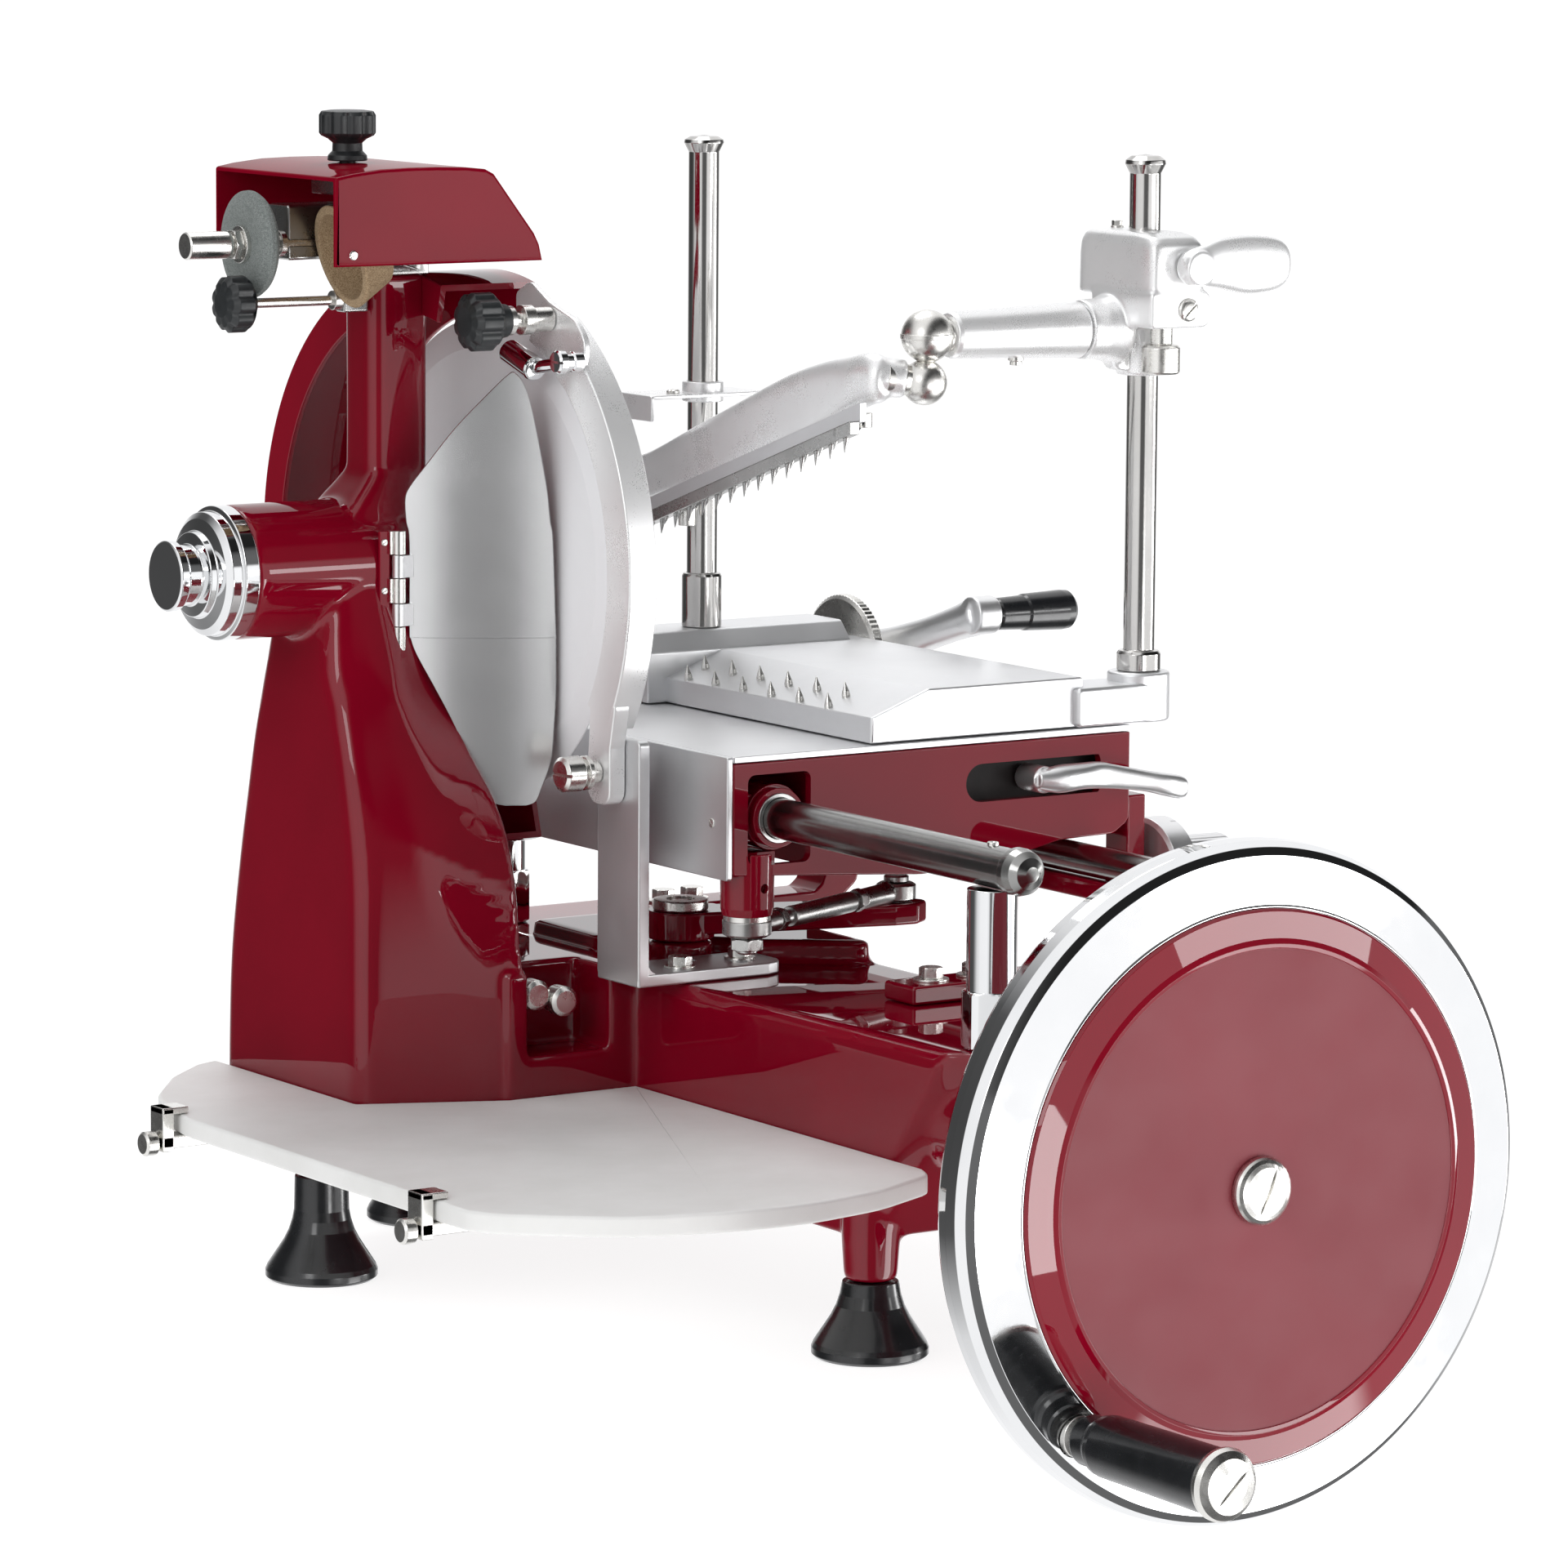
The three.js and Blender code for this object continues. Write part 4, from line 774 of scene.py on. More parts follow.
piece("flywheel_shaft_turned", shaft + bevel_gear("y", SHAFT, 0, -1, 32, 16, 24, 1.6, -2.6, 0.72, 0), "steel", "flywheel_set", ["flywheel_shaft"])
ring = []
for i in range(16):
    for f, r in ((-0.3, 18.5), (-0.12, 22.5), (0.12, 22.5), (0.3, 18.5)):
        ring.append((r * math.cos((i + f) * math.pi / 8), SHAFT[1] + r * math.sin((i + f) * math.pi / 8)))
piece("lay_shaft_turned", rod("x", (0, SHAFT[1]), -126, 55, 8) + bevel_gear("x", (0, SHAFT[1]), SHAFT[0], -1, 16, 32, 12, 0.8, -1.3, 0.72, 0.5) + rod("x", (0, SHAFT[1]), 32, 47.5, 12)
      + prism("x", ring, -77.5, -72.5, 0.4, 0.5) + rod("x", (0, SHAFT[1]), -92, -77, 13), "steel", "lay_shaft_set", ["lay_shaft"])
# roller chain: pairs of plates and rollers along the loop
links = Shape([], [])
path = []
for i in range(200):
    path.append(i / 200)
reach = AXIS_Z - SHAFT[1]
radius = 24.75
total = 2 * reach + 2 * math.pi * radius


def on_chain(s):
    s = s % total
    if s < reach:
        return Vector((radius, SHAFT[1] + s)), math.pi / 2
    s -= reach
    if s < math.pi * radius:
        t = s / radius
        return Vector((radius * math.cos(t), AXIS_Z + radius * math.sin(t))), t + math.pi / 2
    s -= math.pi * radius
    if s < reach:
        return Vector((-radius, AXIS_Z - s)), -math.pi / 2
    s -= reach
    t = math.pi + s / radius
    return Vector((radius * math.cos(t), SHAFT[1] + radius * math.sin(t))), t + math.pi / 2


count = 58
for i in range(count):
    a, _ = on_chain(total * i / count)
    b, _ = on_chain(total * (i + 1) / count)
    links = links + rod("x", (a.x, a.y), -78.9, -71.1, 1.6, 14, 0.2)
    d = (b - a).normalized()
    q = Vector((-d.y, d.x)) * 1.75
    o = [a - d * 1.4 - q * 0.6, a + q * 0, b, b]
    outline = [tuple(a - q), tuple(b - q), tuple(b + d * 1.6), tuple(b + q), tuple(a + q), tuple(a - d * 1.6)]
    for x in ((-78.4, -77.6) if i % 2 else (-77.5, -76.7), (-72.4, -71.6) if i % 2 else (-73.3, -72.5)):
        links = links + prism("x", outline, x[0], x[1], 0.15, 0.8, 1)
piece("drive_chain_links", links, "steel", "base", ["drive_chain"], 40, False)
piece("shaft_housing_cast", cut(lathe("y", SHAFT, [(-474.3, 0), (-474.3, 34), (-483, 34), (-489, 25.4), (-625, 21), (-625, 0)], 80, 2.0), rod("y", SHAFT, -640, -460, 10.4)), "red", "base", ["shaft_housing"])
rim = lathe("y", SHAFT, [(-686, 158.2), (-694.5, 158.2), (-693.6, 160), (-688.8, 187), (-685.6, 191.2), (-680, 194.2), (-672, 195), (-665, 194.2), (-661, 192), (-658, 187), (-658, 181), (-664, 174), (-672, 158.2), (-686, 158.2)], 256, 1.4)
piece("flywheel_rim_chromed", cut(rim, rod("y", GRIP, -700, -686, 12.6)), "chrome", "flywheel_set", ["flywheel_rim"], 30)
piece("flywheel_disc_enamelled", lathe("y", SHAFT, [
    (-640, 10.6), (-640, 26), (-676, 30), (-684, 60), (-682, 140), (-676, 157.8), (-693.6, 157.8), (-695.6, 156.4), (-698.6, 141.5), (-700, 138.5), (-699.2, 136), (-699, 10.6), (-640, 10.6)], 256, 0.8), "disc", "flywheel_set", ["flywheel_disc"], 30)
piece("flywheel_disc_band", lathe("y", SHAFT, [(-692, 157.9), (-694.2, 157.95), (-696, 156.6), (-699, 141.8), (-700.4, 138.8), (-699.7, 136.3), (-697, 137), (-692, 150), (-692, 157.9)], 256, 0.5), "red", "flywheel_set")
piece("flywheel_screw_head", domed_screw((SHAFT[0], -699.3, SHAFT[1]), (0, -1, 0), 19.6, 9.2, 1.15, 2.0, 2.2), "bright", "flywheel_set", ["flywheel_screw"])
stud = lathe("y", GRIP, [(-686.5, 0), (-686.5, 12), (-694, 12), (-695.5, 10), (-697, 8), (-700, 7.4), (-700, 5), (-821, 5), (-821, 20.4), (-824, 20.6), (-827, 19.2), (-830, 15.5), (-832, 9), (-832.8, 0)], 96, 0.8)
stud = cut(stud, block(GRIP[0] - 26, GRIP[0] + 26, -835, -830.8, GRIP[1] - 1.1, GRIP[1] + 1.1).moved(
    Matrix.Translation((GRIP[0], 0, GRIP[1])) @ Matrix.Rotation(-0.75, 4, "Y") @ Matrix.Translation((-GRIP[0], 0, -GRIP[1]))))
piece("handle_stud_turned", stud, "bright", "flywheel_set", ["handle_stud"], 35)
piece("handle_grip_moulded", lathe("y", GRIP, [
    (-700.6, 5.4), (-700.6, 13.6), (-703, 14.5), (-713, 14.6), (-716, 15.8), (-718, 17.2), (-722, 17.8), (-790, 18.5), (-812, 18.7), (-818, 18.4), (-820.5, 17), (-820.5, 5.4), (-700.6, 5.4)], 112, 0.9), "plastic", "grip_set", ["handle_grip"])

d = (Vector(PIN) - Vector(ROCKER))
arm_length = d.length
d.normalize()


def q(s, w):
    return (ROCKER[0] + d.x * s - d.y * w, ROCKER[1] + d.y * s + d.x * w)


arm = prism("z", [q(-16, -12), q(0, -19), q(arm_length - 4, -13.5), q(arm_length + 12, -10), q(arm_length + 22, 2), q(arm_length + 14, 11), q(arm_length - 4, 13.5), q(0, 19), q(-16, 12)], 217, 231, 2.5, 5)
arm = cut(union(arm, rod("z", ROCKER, 213.5, 231.1, 21.4, 72, 1.5)), rod("z", ROCKER, 200, 240, 9.3))
piece("drive_arm_cast", arm, "red", "drive_arm_set", ["drive_arm"], 35)
cap = cut(rod("z", ROCKER, 231.3, 238, 17.5, 72, 1.2), rod("z", ROCKER, 235.6, 240, 9, 48))
piece("drive_arm_cap", rod("z", ROCKER, 168, 231.6, 9) + cap + rod("z", ROCKER, 235.4, 237.2, 6, 32, 0.8) + prism("z", [(79, -112), (124, -110), (130, -103), (124, -96), (79, -94)], 169, 178, 1, 4), "bright", "drive_arm_set", ["drive_arm_shaft"])
r = Vector(PIN) - Vector(STUD)
span = r.length
r.normalize()


def along(s, z=237.5):
    return (STUD[0] + r.x * s, STUD[1] + r.y * s, z)


direction = (r.x, r.y, 0)
parts = [
    lathe("z", STUD, [(231.8, 6), (231.8, 12.5), (233.4, 15.2), (241.6, 15.2), (243.2, 12.5), (243.2, 6), (231.8, 6)], 64, 0.9),
    lathe("z", STUD, [(230.8, 4), (230.8, 8.6), (233, 10.4), (242, 10.4), (244.2, 8.6), (244.2, 4), (230.8, 4)], 48, 0.8),
    lathe("z", PIN, [(231.8, 5), (231.8, 10.4), (233.2, 12.6), (241.8, 12.6), (243.2, 10.4), (243.2, 5), (231.8, 5)], 64, 0.9),
    spindle(along(11), direction, [(0, 0), (0, 7.6), (6, 6.8), (20, 6.6), (22, 6.2), (22, 0)], 48, 0.5),
    nut("z", (0, 0), 0, 6, 13).moved(aim(along(33.4), direction)),
    spindle(along(39), direction, [(0, 0), (0, 4.6), (span - 80, 4.6), (span - 80, 0)], 40, 0.3),
    spindle(along(48), direction, [(0, 0), (0, 6.2), (2, 6.6), (span - 104, 6.6), (span - 102, 6.2), (span - 102, 0)], 48, 0.4),
    nut("z", (0, 0), 0, 7, 13, 0.3).moved(aim(along(span - 50), direction)),
    spindle(along(span - 42), direction, [(0, 0), (0, 6.4), (20, 6.6), (28, 7.4), (31, 7), (31, 0)], 48, 0.5),
    lathe("z", PIN, [(231.6, 0), (231.6, 6), (243, 6), (244, 8), (247, 8), (248, 6.6), (248, 0)], 48, 0.4),
    lathe("z", STUD, [(221, 0), (221, 5.6), (222, 6.5), (244.6, 6.5), (244.6, 0)], 48, 0.3), nut("z", STUD, 223.4, 230.6, 19),
]
rod_all = parts[0]
for p in parts[1:]:
    rod_all = rod_all + p
piece("connecting_rod_ends", rod_all, "steel", "rod_set", ["connecting_rod"], 35)

# ------------------------------------------------------------------ carriage and its rails
guide = lathe("y", ROD, [(-492.5, 0), (-492, 4.5), (-489.5, 9.4), (-485.5, 12.8), (-480, 14.2), (-475.5, 14.2), (-474, 12.5), (112, 12.5), (112, 0)], 96, 0.8)
piece("guide_rod_ground", guide, "rodsteel", "base", ["main_guide_rod"], 35)
piece("guide_rod_set_screw", lathe("z", (ROD[0], -452), [(316.4, 0), (316.4, 3.4), (319.2, 3.4), (319.2, 1.8), (318.2, 1.6), (318.2, 0)], 32, 0.3), "bright", "base")
for name, y in (("rod_post_front", -452), ("rod_post_rear", 96)):
    post = nut("z", (ROD[0], y), 197.4, 232, 31.6, 0.3) + lathe("z", (ROD[0], y), [(228, 0), (228, 15), (232, 14.9), (292, 14.9), (292, 0)], 72, 0.6)
    piece(name + "_turned", post, "chrome", "base", [name], 35)
piece("side_rail_ground", rod("y", RAIL, -335, 70, 10, 72, 1.0), "rodsteel", "base", ["side_rail"])
support = union(
    box(RAIL[0] - 9, RAIL[0] + 9, -330, 66, 240, 252.5, 2.0, "y"),
    prism("y", [(112, 197.5), (285, 197.5, 14), (305, 214, 8), (305, 241), (287, 241), (276, 214, 6), (270, 209, 6), (112, 209)], -312, -280, 2.0, 2.2),
    prism("y", [(140, 197.5), (285, 197.5, 14), (305, 214, 8), (305, 241), (287, 241), (276, 214, 6), (270, 209, 6), (140, 209)], 30, 62, 2.0, 2.2))
piece("rail_support_cast", support, "red", "base", ["rail_support"], 32)
piece("rail_bolts", bolt((136, -296, 209), (0, 0, 1), 13, 7, 11) + bolt((168, -296, 209), (0, 0, 1), 13, 7, 11) + bolt((162, 46, 209), (0, 0, 1), 13, 7, 11) + bolt((184, 46, 209), (0, 0, 1), 13, 7, 11), "bright", "base")

skirt = prism("y", [(35.4, 340.5, 1), (35.4, 272, 1.5), (110, 267, 60), (176, 262, 60), (240, 267, 60), (280, 275.5, 30), (322, 276.5, 8), (334, 284, 8), (334, 340.5, 1)], -228.9, 45, 1.0, 1.2)
shell = cut(skirt, block(296, 340, -108, 50, 200, 400))
shell = cut(shell, block(41, 328, -223, -114, 200, 334), block(41, 290, -120, 39, 200, 334))
bush = rod("y", ROD, -227, -195, 18.5, 72)
shell = union(shell, box(98, 104, -224, 40, 272, 335), box(284, 287.8, -174, -146, 279, 335), rod("x", (-160, 285.3), 286, 306, 4), rod("y", ROD, -221.5, -196, 20.4, 72), box(39, 62, -219, -198, 290, 320, 1.5),
              box(41, 99, 12, 40, 280, 336), bush, lathe("z", STUD, [(245, 0), (245, 15.4), (250, 16.4), (284, 17), (284, 0)], 72, 0.8))
shell = cut(shell, box(46, 92, -230, -222, 277, 333, 0.01, "y", 5))
shell = union(shell, bush)
slot = []
for i in range(17):
    slot.append((220 - 12 * math.sin(i * math.pi / 16), 316 + 12 * math.cos(i * math.pi / 16)))
for i in range(17):
    slot.append((309 + 3 * math.sin(i * math.pi / 16), 316 - 12 * math.cos(i * math.pi / 16)))
shell = cut(shell, prism("y", slot, -235, -220, 0.01, 0.01), rod("y", ROD, -240, 60, 12.9), rod("y", (STUD[0] + 2, 263), -240, -226, 3))
shell = union(shell, box(333, 347, -228.9, -205, 240, 300, 1.5), rod("x", (-219, 246), 333, 352, 14))
piece("carriage_shell", shell, "red", "carriage_set", ["carriage"], 32)
# A near-black sheet just behind the slot makes it read as deep shade: painted shade, not a real part of the machine.
piece("slot_painted_shade", box(206, 327, -213.6, -212, 299, 333.4, 0.3, "y", 2), "dark", "carriage_set")
piece("carriage_bush_ring", tube("y", ROD, -228.4, -196, 12.7, 15.4), "steel", "carriage_set")
piece("stud_collar", tube("z", STUD, 240, 250, 6.6, 14.6, 64, 0.8), "bright", "rod_set")
top = union(prism("z", [(35.3, -229), (334, -229), (334, -108), (296, -108), (296, 45), (35.3, 45)], 341, 345, 0.7, 1.5), box(284, 296, 33, 61, 341.4, 374, 1, "x", 6))
piece("carriage_top_sheet", cut(top, rod("x", FEED, 270, 300, 6.5)), "satin", "carriage_set", ["carriage_top_plate"], 35)
piece("carriage_side_sheet", box(31, 35, -229, 45, 269, 345, 0.9, "x", 2), "satin", "carriage_set", ["carriage_side_plate"])
piece("side_sheet_screws", pan_screw((31.1, -212, 303), (-1, 0, 0), 3.0, 0.9, 0.8) + pan_screw((31.1, 20, 303), (-1, 0, 0), 3.0, 0.9, 0.2), "bright", "carriage_set")
piece("carriage_roller_turned", tube("x", (-160, 285.3), 288.4, 303.6, 4.6, 12, 64, 0.8), "steel", "roller_set", ["carriage_roller"])


def knurl(count, depth, a0, a1):
    def wave(t, a, rr):
        return rr - (depth if a0 <= a <= a1 and math.cos(count * t) > 0.2 else 0)

    return wave


dial = lathe("x", (-219, 246), [(352.4, 0), (352.4, 34), (354, 37), (370, 37), (372, 34), (373.5, 24.6), (376, 23.6), (413, 23), (417, 20.5), (418, 16), (418, 0)], 144, 0.7, knurl(36, 0.5, 374, 415))
for i in range(20):
    t = 2 * math.pi * i / 20
    c, s = math.cos(t), math.sin(t)
    long = 8 if i % 5 == 0 else 5
    dial = cut(dial, bar((370.5 - long, -219 + 37.1 * c, 246 + 37.1 * s), (370.5, -219 + 37.1 * c, 246 + 37.1 * s), 0.5, 0.5, 8)) if i % 2 == 0 else dial
piece("thickness_dial_turned", dial, "cast", "dial_set", ["thickness_dial"], 32)
sections = [
    (262, -222, 316, 8.4, 8.4, 2), (262, -236, 316, 8.6, 8.6, 2), (270, -239, 316, 9, 8.6, 2.2), (286, -241, 317, 9, 8.2, 2.4), (300, -243, 317, 6.4, 8.4, 2.6),
    (314, -248, 315, 5, 7.4, 2.6), (328, -253, 312.6, 5, 6.8, 2.6), (340, -257, 310, 6, 7.4, 2.6), (350, -258, 308, 6, 7.6, 2.4), (355.4, -258, 307.4, 4.8, 6, 2.2)]
lever = rod("y", (262, 316), -238, -216, 8.6, 56) + loft([oval("x", x, (y, z), (a, b), p) for x, y, z, a, b, p in smooth_rows([list(sec) for sec in [(256, -239, 316, 3, 5, 2)] + sections[2:]], 5)])
piece("thickness_lever_cast", cast(lever, 0.9, 6), "cast", "lever_set", ["thickness_lever"], 180, False)

# ------------------------------------------------------------------ meat table
flat = prism("y", [(137, 346, 1), (298, 346, 1), (298, 377.5, 3), (180, 377.5, 1.5), (137, 362, 1.2)], -228, 29, 1.6, 1.6)
ledge = prism("x", [(5, 346), (57, 346), (57, 390, 3), (16, 390, 4), (5, 378, 3)], 123, 280, 1.2, 1.2)
lug = union(box(290, 352, -234, -196, 346.2, 371, 3, "y", 3), rod("z", POST_R, 346, 377, 19.8, 80, 2.0))
table = union(flat, ledge, lug)
table = cut(table, rod("x", FEED, 120, 290, 7), loft([[(130, -240, z), (181, -240, z), (130, -196, z)] for z in (340, 346)]))
piece("meat_table_cast", table, "satin", "table_set", ["meat_table"], 30)
prongs = Shape([], [])
for i in range(6):
    for x, y in ((140, -177 + 32 * i), (155, -174 + 32 * i)):
        z = 362 + (x - 137) * 15.5 / 43
        prongs = prongs + spindle((x, y, z - 2), (-0.1, 0, 1), [(0, 0), (0, 2.7), (3, 2.75), (5.4, 2.2), (8.4, 1.1), (11, 0.35), (11.3, 0)], 24, 0.3)
piece("table_prongs", prongs, "bright", "table_set")
piece("post_right_turned", lathe("z", POST_R, [(377.3, 0), (377.3, 14), (388, 14), (390, 12.6), (390, 9.9), (690, 9.9), (692, 11), (696, 13), (698.4, 12.6), (701, 9), (702, 0)], 96, 0.8), "plated", "table_set", ["post_right"])
piece("post_left_turned", lathe("z", POST_L, [(390.3, 0), (390.3, 13), (423, 13), (425, 12), (425, 9.9), (696, 9.9), (698, 11), (702, 13), (704, 12.6), (706, 9), (707, 0)], 96, 0.8), "plated", "table_set", ["post_left"])
end = (FEED[0] - 128, FEED[1] + 41)
thread = lathe("x", FEED, [(104, 0), (104, 6), (300, 6), (300, 0)], 40, 0.4)
wheel = lathe("x", FEED, [(299, 0), (299, 40), (301, 43), (307, 43), (309, 40), (309, 26), (313, 23), (322, 21), (327, 17), (330, 12), (330, 0)], 144, 1.0, knurl(72, 0.6, 300.5, 307.5))
arm_sections = [(0, 17, 12), (12, 16, 11.4), (40, 13, 10), (80, 11, 9), (112, 11.4, 9), (128, 12.6, 9.6), (136, 12, 9.4)]
dirv = Vector((0, end[0] - FEED[0], end[1] - FEED[1])).normalized()
up = Vector((1, 0, 0)).cross(dirv)
rings = []
for s, w, h in smooth_rows([list(a) for a in arm_sections], 4):
    c = Vector((320.5, FEED[0], FEED[1])) + dirv * s
    rings.append([tuple(c + up * (w * math.cos(t)) + Vector((1, 0, 0)) * (h * math.sin(t))) for t in [2 * math.pi * i / 48 for i in range(48)]])
crank = cast(union(loft(rings), rod("x", end, 314, 332, 12.5), lathe("x", FEED, [(310, 0), (310, 24), (324, 21), (330, 14), (330, 0)], 72, 2)), 1.2, 8)
piece("feed_crank_arm", crank + rod("x", end, 331, 391, 4), "cast", "feed_set", ["feed_crank"], 180, False)
piece("feed_wheel", thread + wheel, "bright", "feed_set", angle=30)
piece("feed_grip_moulded", lathe("x", end, [(332.5, 4.4), (332.5, 9.6), (335, 10.4), (350, 11), (354, 11.2), (356, 12), (385, 13), (390, 12.6), (393, 10), (393, 4.4), (332.5, 4.4)], 80, 0.8), "plastic", "feed_grip_set", ["feed_grip"])

# ------------------------------------------------------------------ meat press
rings = []
for z, x0, x1, y0, y1, p in [(615, 323, 365, -261, -179, 10), (640, 323, 365, -261, -179, 9), (648, 323.4, 364.4, -260, -179.4, 8), (652.4, 325, 362, -256, -181, 7), (655, 328, 358, -248, -184, 6)]:
    rings.append(oval("z", z, ((x0 + x1) / 2, (y0 + y1) / 2), ((x1 - x0) / 2, (y1 - y0) / 2), p, 96))
clamp = union(
    loft(rings), prism("y", [(322, 596, 3), (368, 596, 6), (368, 619, 5), (322, 619, 2)], -261.4, -197, 1.6, 3),
    rod("z", POST_R, 564, 600, 17, 72, 2), lathe("x", (-215, 594), [(300, 0), (300, 18.6), (312, 19), (328, 23), (328, 0)], 72, 1),
    prism("y", [(306, 592), (332, 592), (338, 566), (326, 568)], -222, -208, 2, 3))
clamp = cut(clamp, rod("z", POST_R, 540, 680, 10.3), rod("y", (350, 634), -270, -254, 6.4), rod("x", (-215, 594), 290, 330, 15.4))
piece("press_clamp_cast", cast(clamp, 1.3, 5), "polished", "clamp_set", ["press_clamp"], 180, False)
piece("clamp_plunger", lathe("z", (341, -246), [(567, 0), (567, 11), (568.4, 12), (583.4, 12), (585, 10.6), (585.6, 7), (597, 7), (597, 0)], 64, 0.7) + domed_screw((350, -261, 607.4), (0, -1, 0), 7.4, 4.2, 0.75, 1.5, 1.6)
      + bolt((347, -190, 654.6), (0, 0, 1), 6, 3.4, 4), "bright", "clamp_set")
arm = lathe("x", (-215, 594), [(200, 0), (200, 13.4), (203, 14.6), (240, 15.6), (296, 17.6), (298, 17.8), (299, 15.1), (328, 15.1), (328, 0)], 80, 1.4)
piece("press_arm_tube", arm, "polished", "clamp_set", ["press_arm"])
joint = ball((185, -215, 594), 16.4) + lathe("z", (185, -215), [(592.4, 0), (592.4, 16.9), (595.6, 16.9), (595.6, 0)], 64, 0.4) + bar((190, -215, 594), (203, -215, 594), 9.4, 10.6, 48)
piece("press_ball", joint + spindle((252, -215, 579.6), (0, 0, -1), [(0, 0), (0, 5), (3, 5), (3.4, 3.8), (6, 3.8), (6, 0)], 32, 0.4), "bright", "clamp_set")
wing = []
for x, y, z, a, b, p in smooth_rows([[339, -268.5, 634, 3, 6, 2.2], [344, -268.5, 634, 5.8, 10.6, 2.2], [354, -268.8, 635, 6.2, 12.6, 2.2], [366, -269.6, 636.2, 6.8, 15.4, 2.3], [384, -270.6, 635.2, 7.8, 18.2, 2.4],
                                      [400, -271, 635, 8.2, 17.8, 2.5], [411, -271, 635, 7.8, 15.6, 2.5], [417.4, -271, 635, 6, 11.4, 2.3], [420.4, -271, 635, 2.6, 5.6, 2.2]], 5):
    wing.append(oval("x", x, (y, z), (a, b), p, 64))
piece("clamp_lever_cast", cast(union(loft(wing), rod("y", (350, 634), -276, -262.2, 11, 64, 2)), 0.9, 4) + rod("y", (350, 634), -268, -256, 6), "polished", "clamp_lever_set", ["clamp_lever"], 180, False)

stations = [(-213, 568, 6, 9, 2), (-208, 568, 10, 14, 2), (-196, 567.5, 11.4, 16.5, 2.1), (-176, 562, 10.6, 18, 2.6), (-150, 553, 10, 22, 3.4), (-112, 542, 9.6, 22, 4.5), (-60, 524, 9.4, 20, 6), (0, 503.5, 9.2, 17.5, 7), (40, 490, 9, 15.5, 7), (66, 483, 9, 15, 7), (74, 482, 8.6, 13.6, 5), (77, 482, 7.4, 11, 4)]
rings = [oval("y", y, (156, z), (hx, hz), p, 56) for y, z, hx, hz, p in smooth_rows([list(a) for a in stations], 4)]
neck = spindle((160, -206, 569), (184 - 160, -215 + 206, 566 - 569), [(0, 0), (0, 11), (12, 10), (16, 9), (24, 9), (24, 0)], 48, 0.6)
piece("press_web_cast", cast(loft(rings) + spindle((158, -203, 569.5), (184 - 158, -12, -3), [(0, 0), (0, 12.4), (14, 12), (16, 10.8), (16, 0)], 48, 0.6), 1.2, 5), "polished", "press_set", ["press_plate"], 180, False)
piece("press_lower_ball", neck + ball((183.6, -214.2, 565.6), 14.2), "bright", "press_set")


def low(y):
    return 546 - (y + 225) * 93 / 282


strip = []
y = 57.0
bottom = []
k = 0
while y > -206:
    step = 8
    yy = max(y - step, -206)
    depth = -1.5 if k % 2 else 2.6
    bottom += [(y, low(y) + depth), (yy, low(yy) + depth)]
    y = yy
    k += 1
strip = [(-206, low(-206) + 14.5), (57, low(57) + 14.5)]
comb_light = prism("x", [(-206, low(-206) + 14.5), (57, low(57) + 14.5)] + bottom, 141.6, 146.2, 0.4, 0.4, 2)
piece("press_comb_rail", comb_light, "satin", "press_set", angle=35)
rail = union(prism("x", [(-206, low(-206) + 3.6), (57, low(57) + 3.6), (57, low(57) - 5), (-206, low(-206) - 5)], 134, 141.4, 0.7, 1.0), pan_screw((134.6, -190, low(-190)), (-1, 0, 0), 2.6, 0.8))
spikes = Shape([], [])
for i in range(16):
    y = -196 + i * 16
    spikes = spikes + spindle((138.4, y, low(y) - 3), (-0.06, 0.07, -1), [(0, 0), (0, 2.2), (3, 1.7), (7, 1.0), (10.6, 0.25), (11, 0)], 16, 0.2)
    spikes = spikes + spindle((136.6, y + 8, low(y + 8) - 3), (-0.3, 0.05, -1), [(0, 0), (0, 1.7), (2.4, 1.4), (5, 0.8), (6.6, 0.25), (7, 0)], 14, 0.2) if y + 8 < 50 else spikes
piece("press_comb_spikes", rail + spikes, "steel", "press_set", ["press_comb"], 35)
piece("comb_thumb_screw", lathe("z", (149, 0), [(low(0) - 12, 0), (low(0) - 12, 5.6), (low(0) - 1, 5.8), (low(0) + 1, 4), (low(0) + 12, 4), (low(0) + 12, 0)], 40, 0.5)
      + lathe("z", (150, -198), [(low(-198) + 1, 0), (low(-198) + 1, 5.2), (low(-198) + 10, 5.2), (low(-198) + 10, 0)], 40, 0.6), "bright", "press_set")
# bent stop plate on the left post
plate = union(box(128, 214, 10, 50, 540, 542.6, 0.8, "z", 3), box(128, 130.4, 10, 50, 526, 542.4, 0.6, "x", 2), rod("z", POST_L, 536, 549, 13.4, 56, 1))
piece("post_stop_plate", cut(plate, rod("z", POST_L, 500, 600, 10.3)), "polished", "table_set")
piece("post_stop_screw", pan_screw((152, 22, 542.5), (0, 0, 1), 4.2, 2.6, 0.7), "bright", "table_set")

# ------------------------------------------------------------------ sharpener
top_line = [(-152, 692), (-140, 694.2), (-120, 696.4), (-100, 697), (-80, 697), (-60, 696.4), (-46, 695), (-40, 692), (-11, 655), (-7.4, 648), (-5, 638)]
outer = [(-152, 638, 0.5)] + [(x, z, 2 if k in (0, 6, 7, 8) else 0) for k, (x, z) in enumerate(top_line)]
inner_line = [(-160, 688.6), (-140, 691.2), (-120, 693.4), (-100, 694), (-80, 694), (-60, 693.4), (-47.4, 692.2), (-42.4, 689.6), (-14, 653.6), (-10.8, 647), (-8.4, 630)]
inner = [(-160, 630, 0)] + [(x, z, 0) for x, z in inner_line]
cover = cut(prism("y", outer, -74, 76, 2.2, 2.2, 4), prism("y", inner, -71, 73, 1.0, 1.0), rod("z", (-101, 0), 680, 705, 6.4))
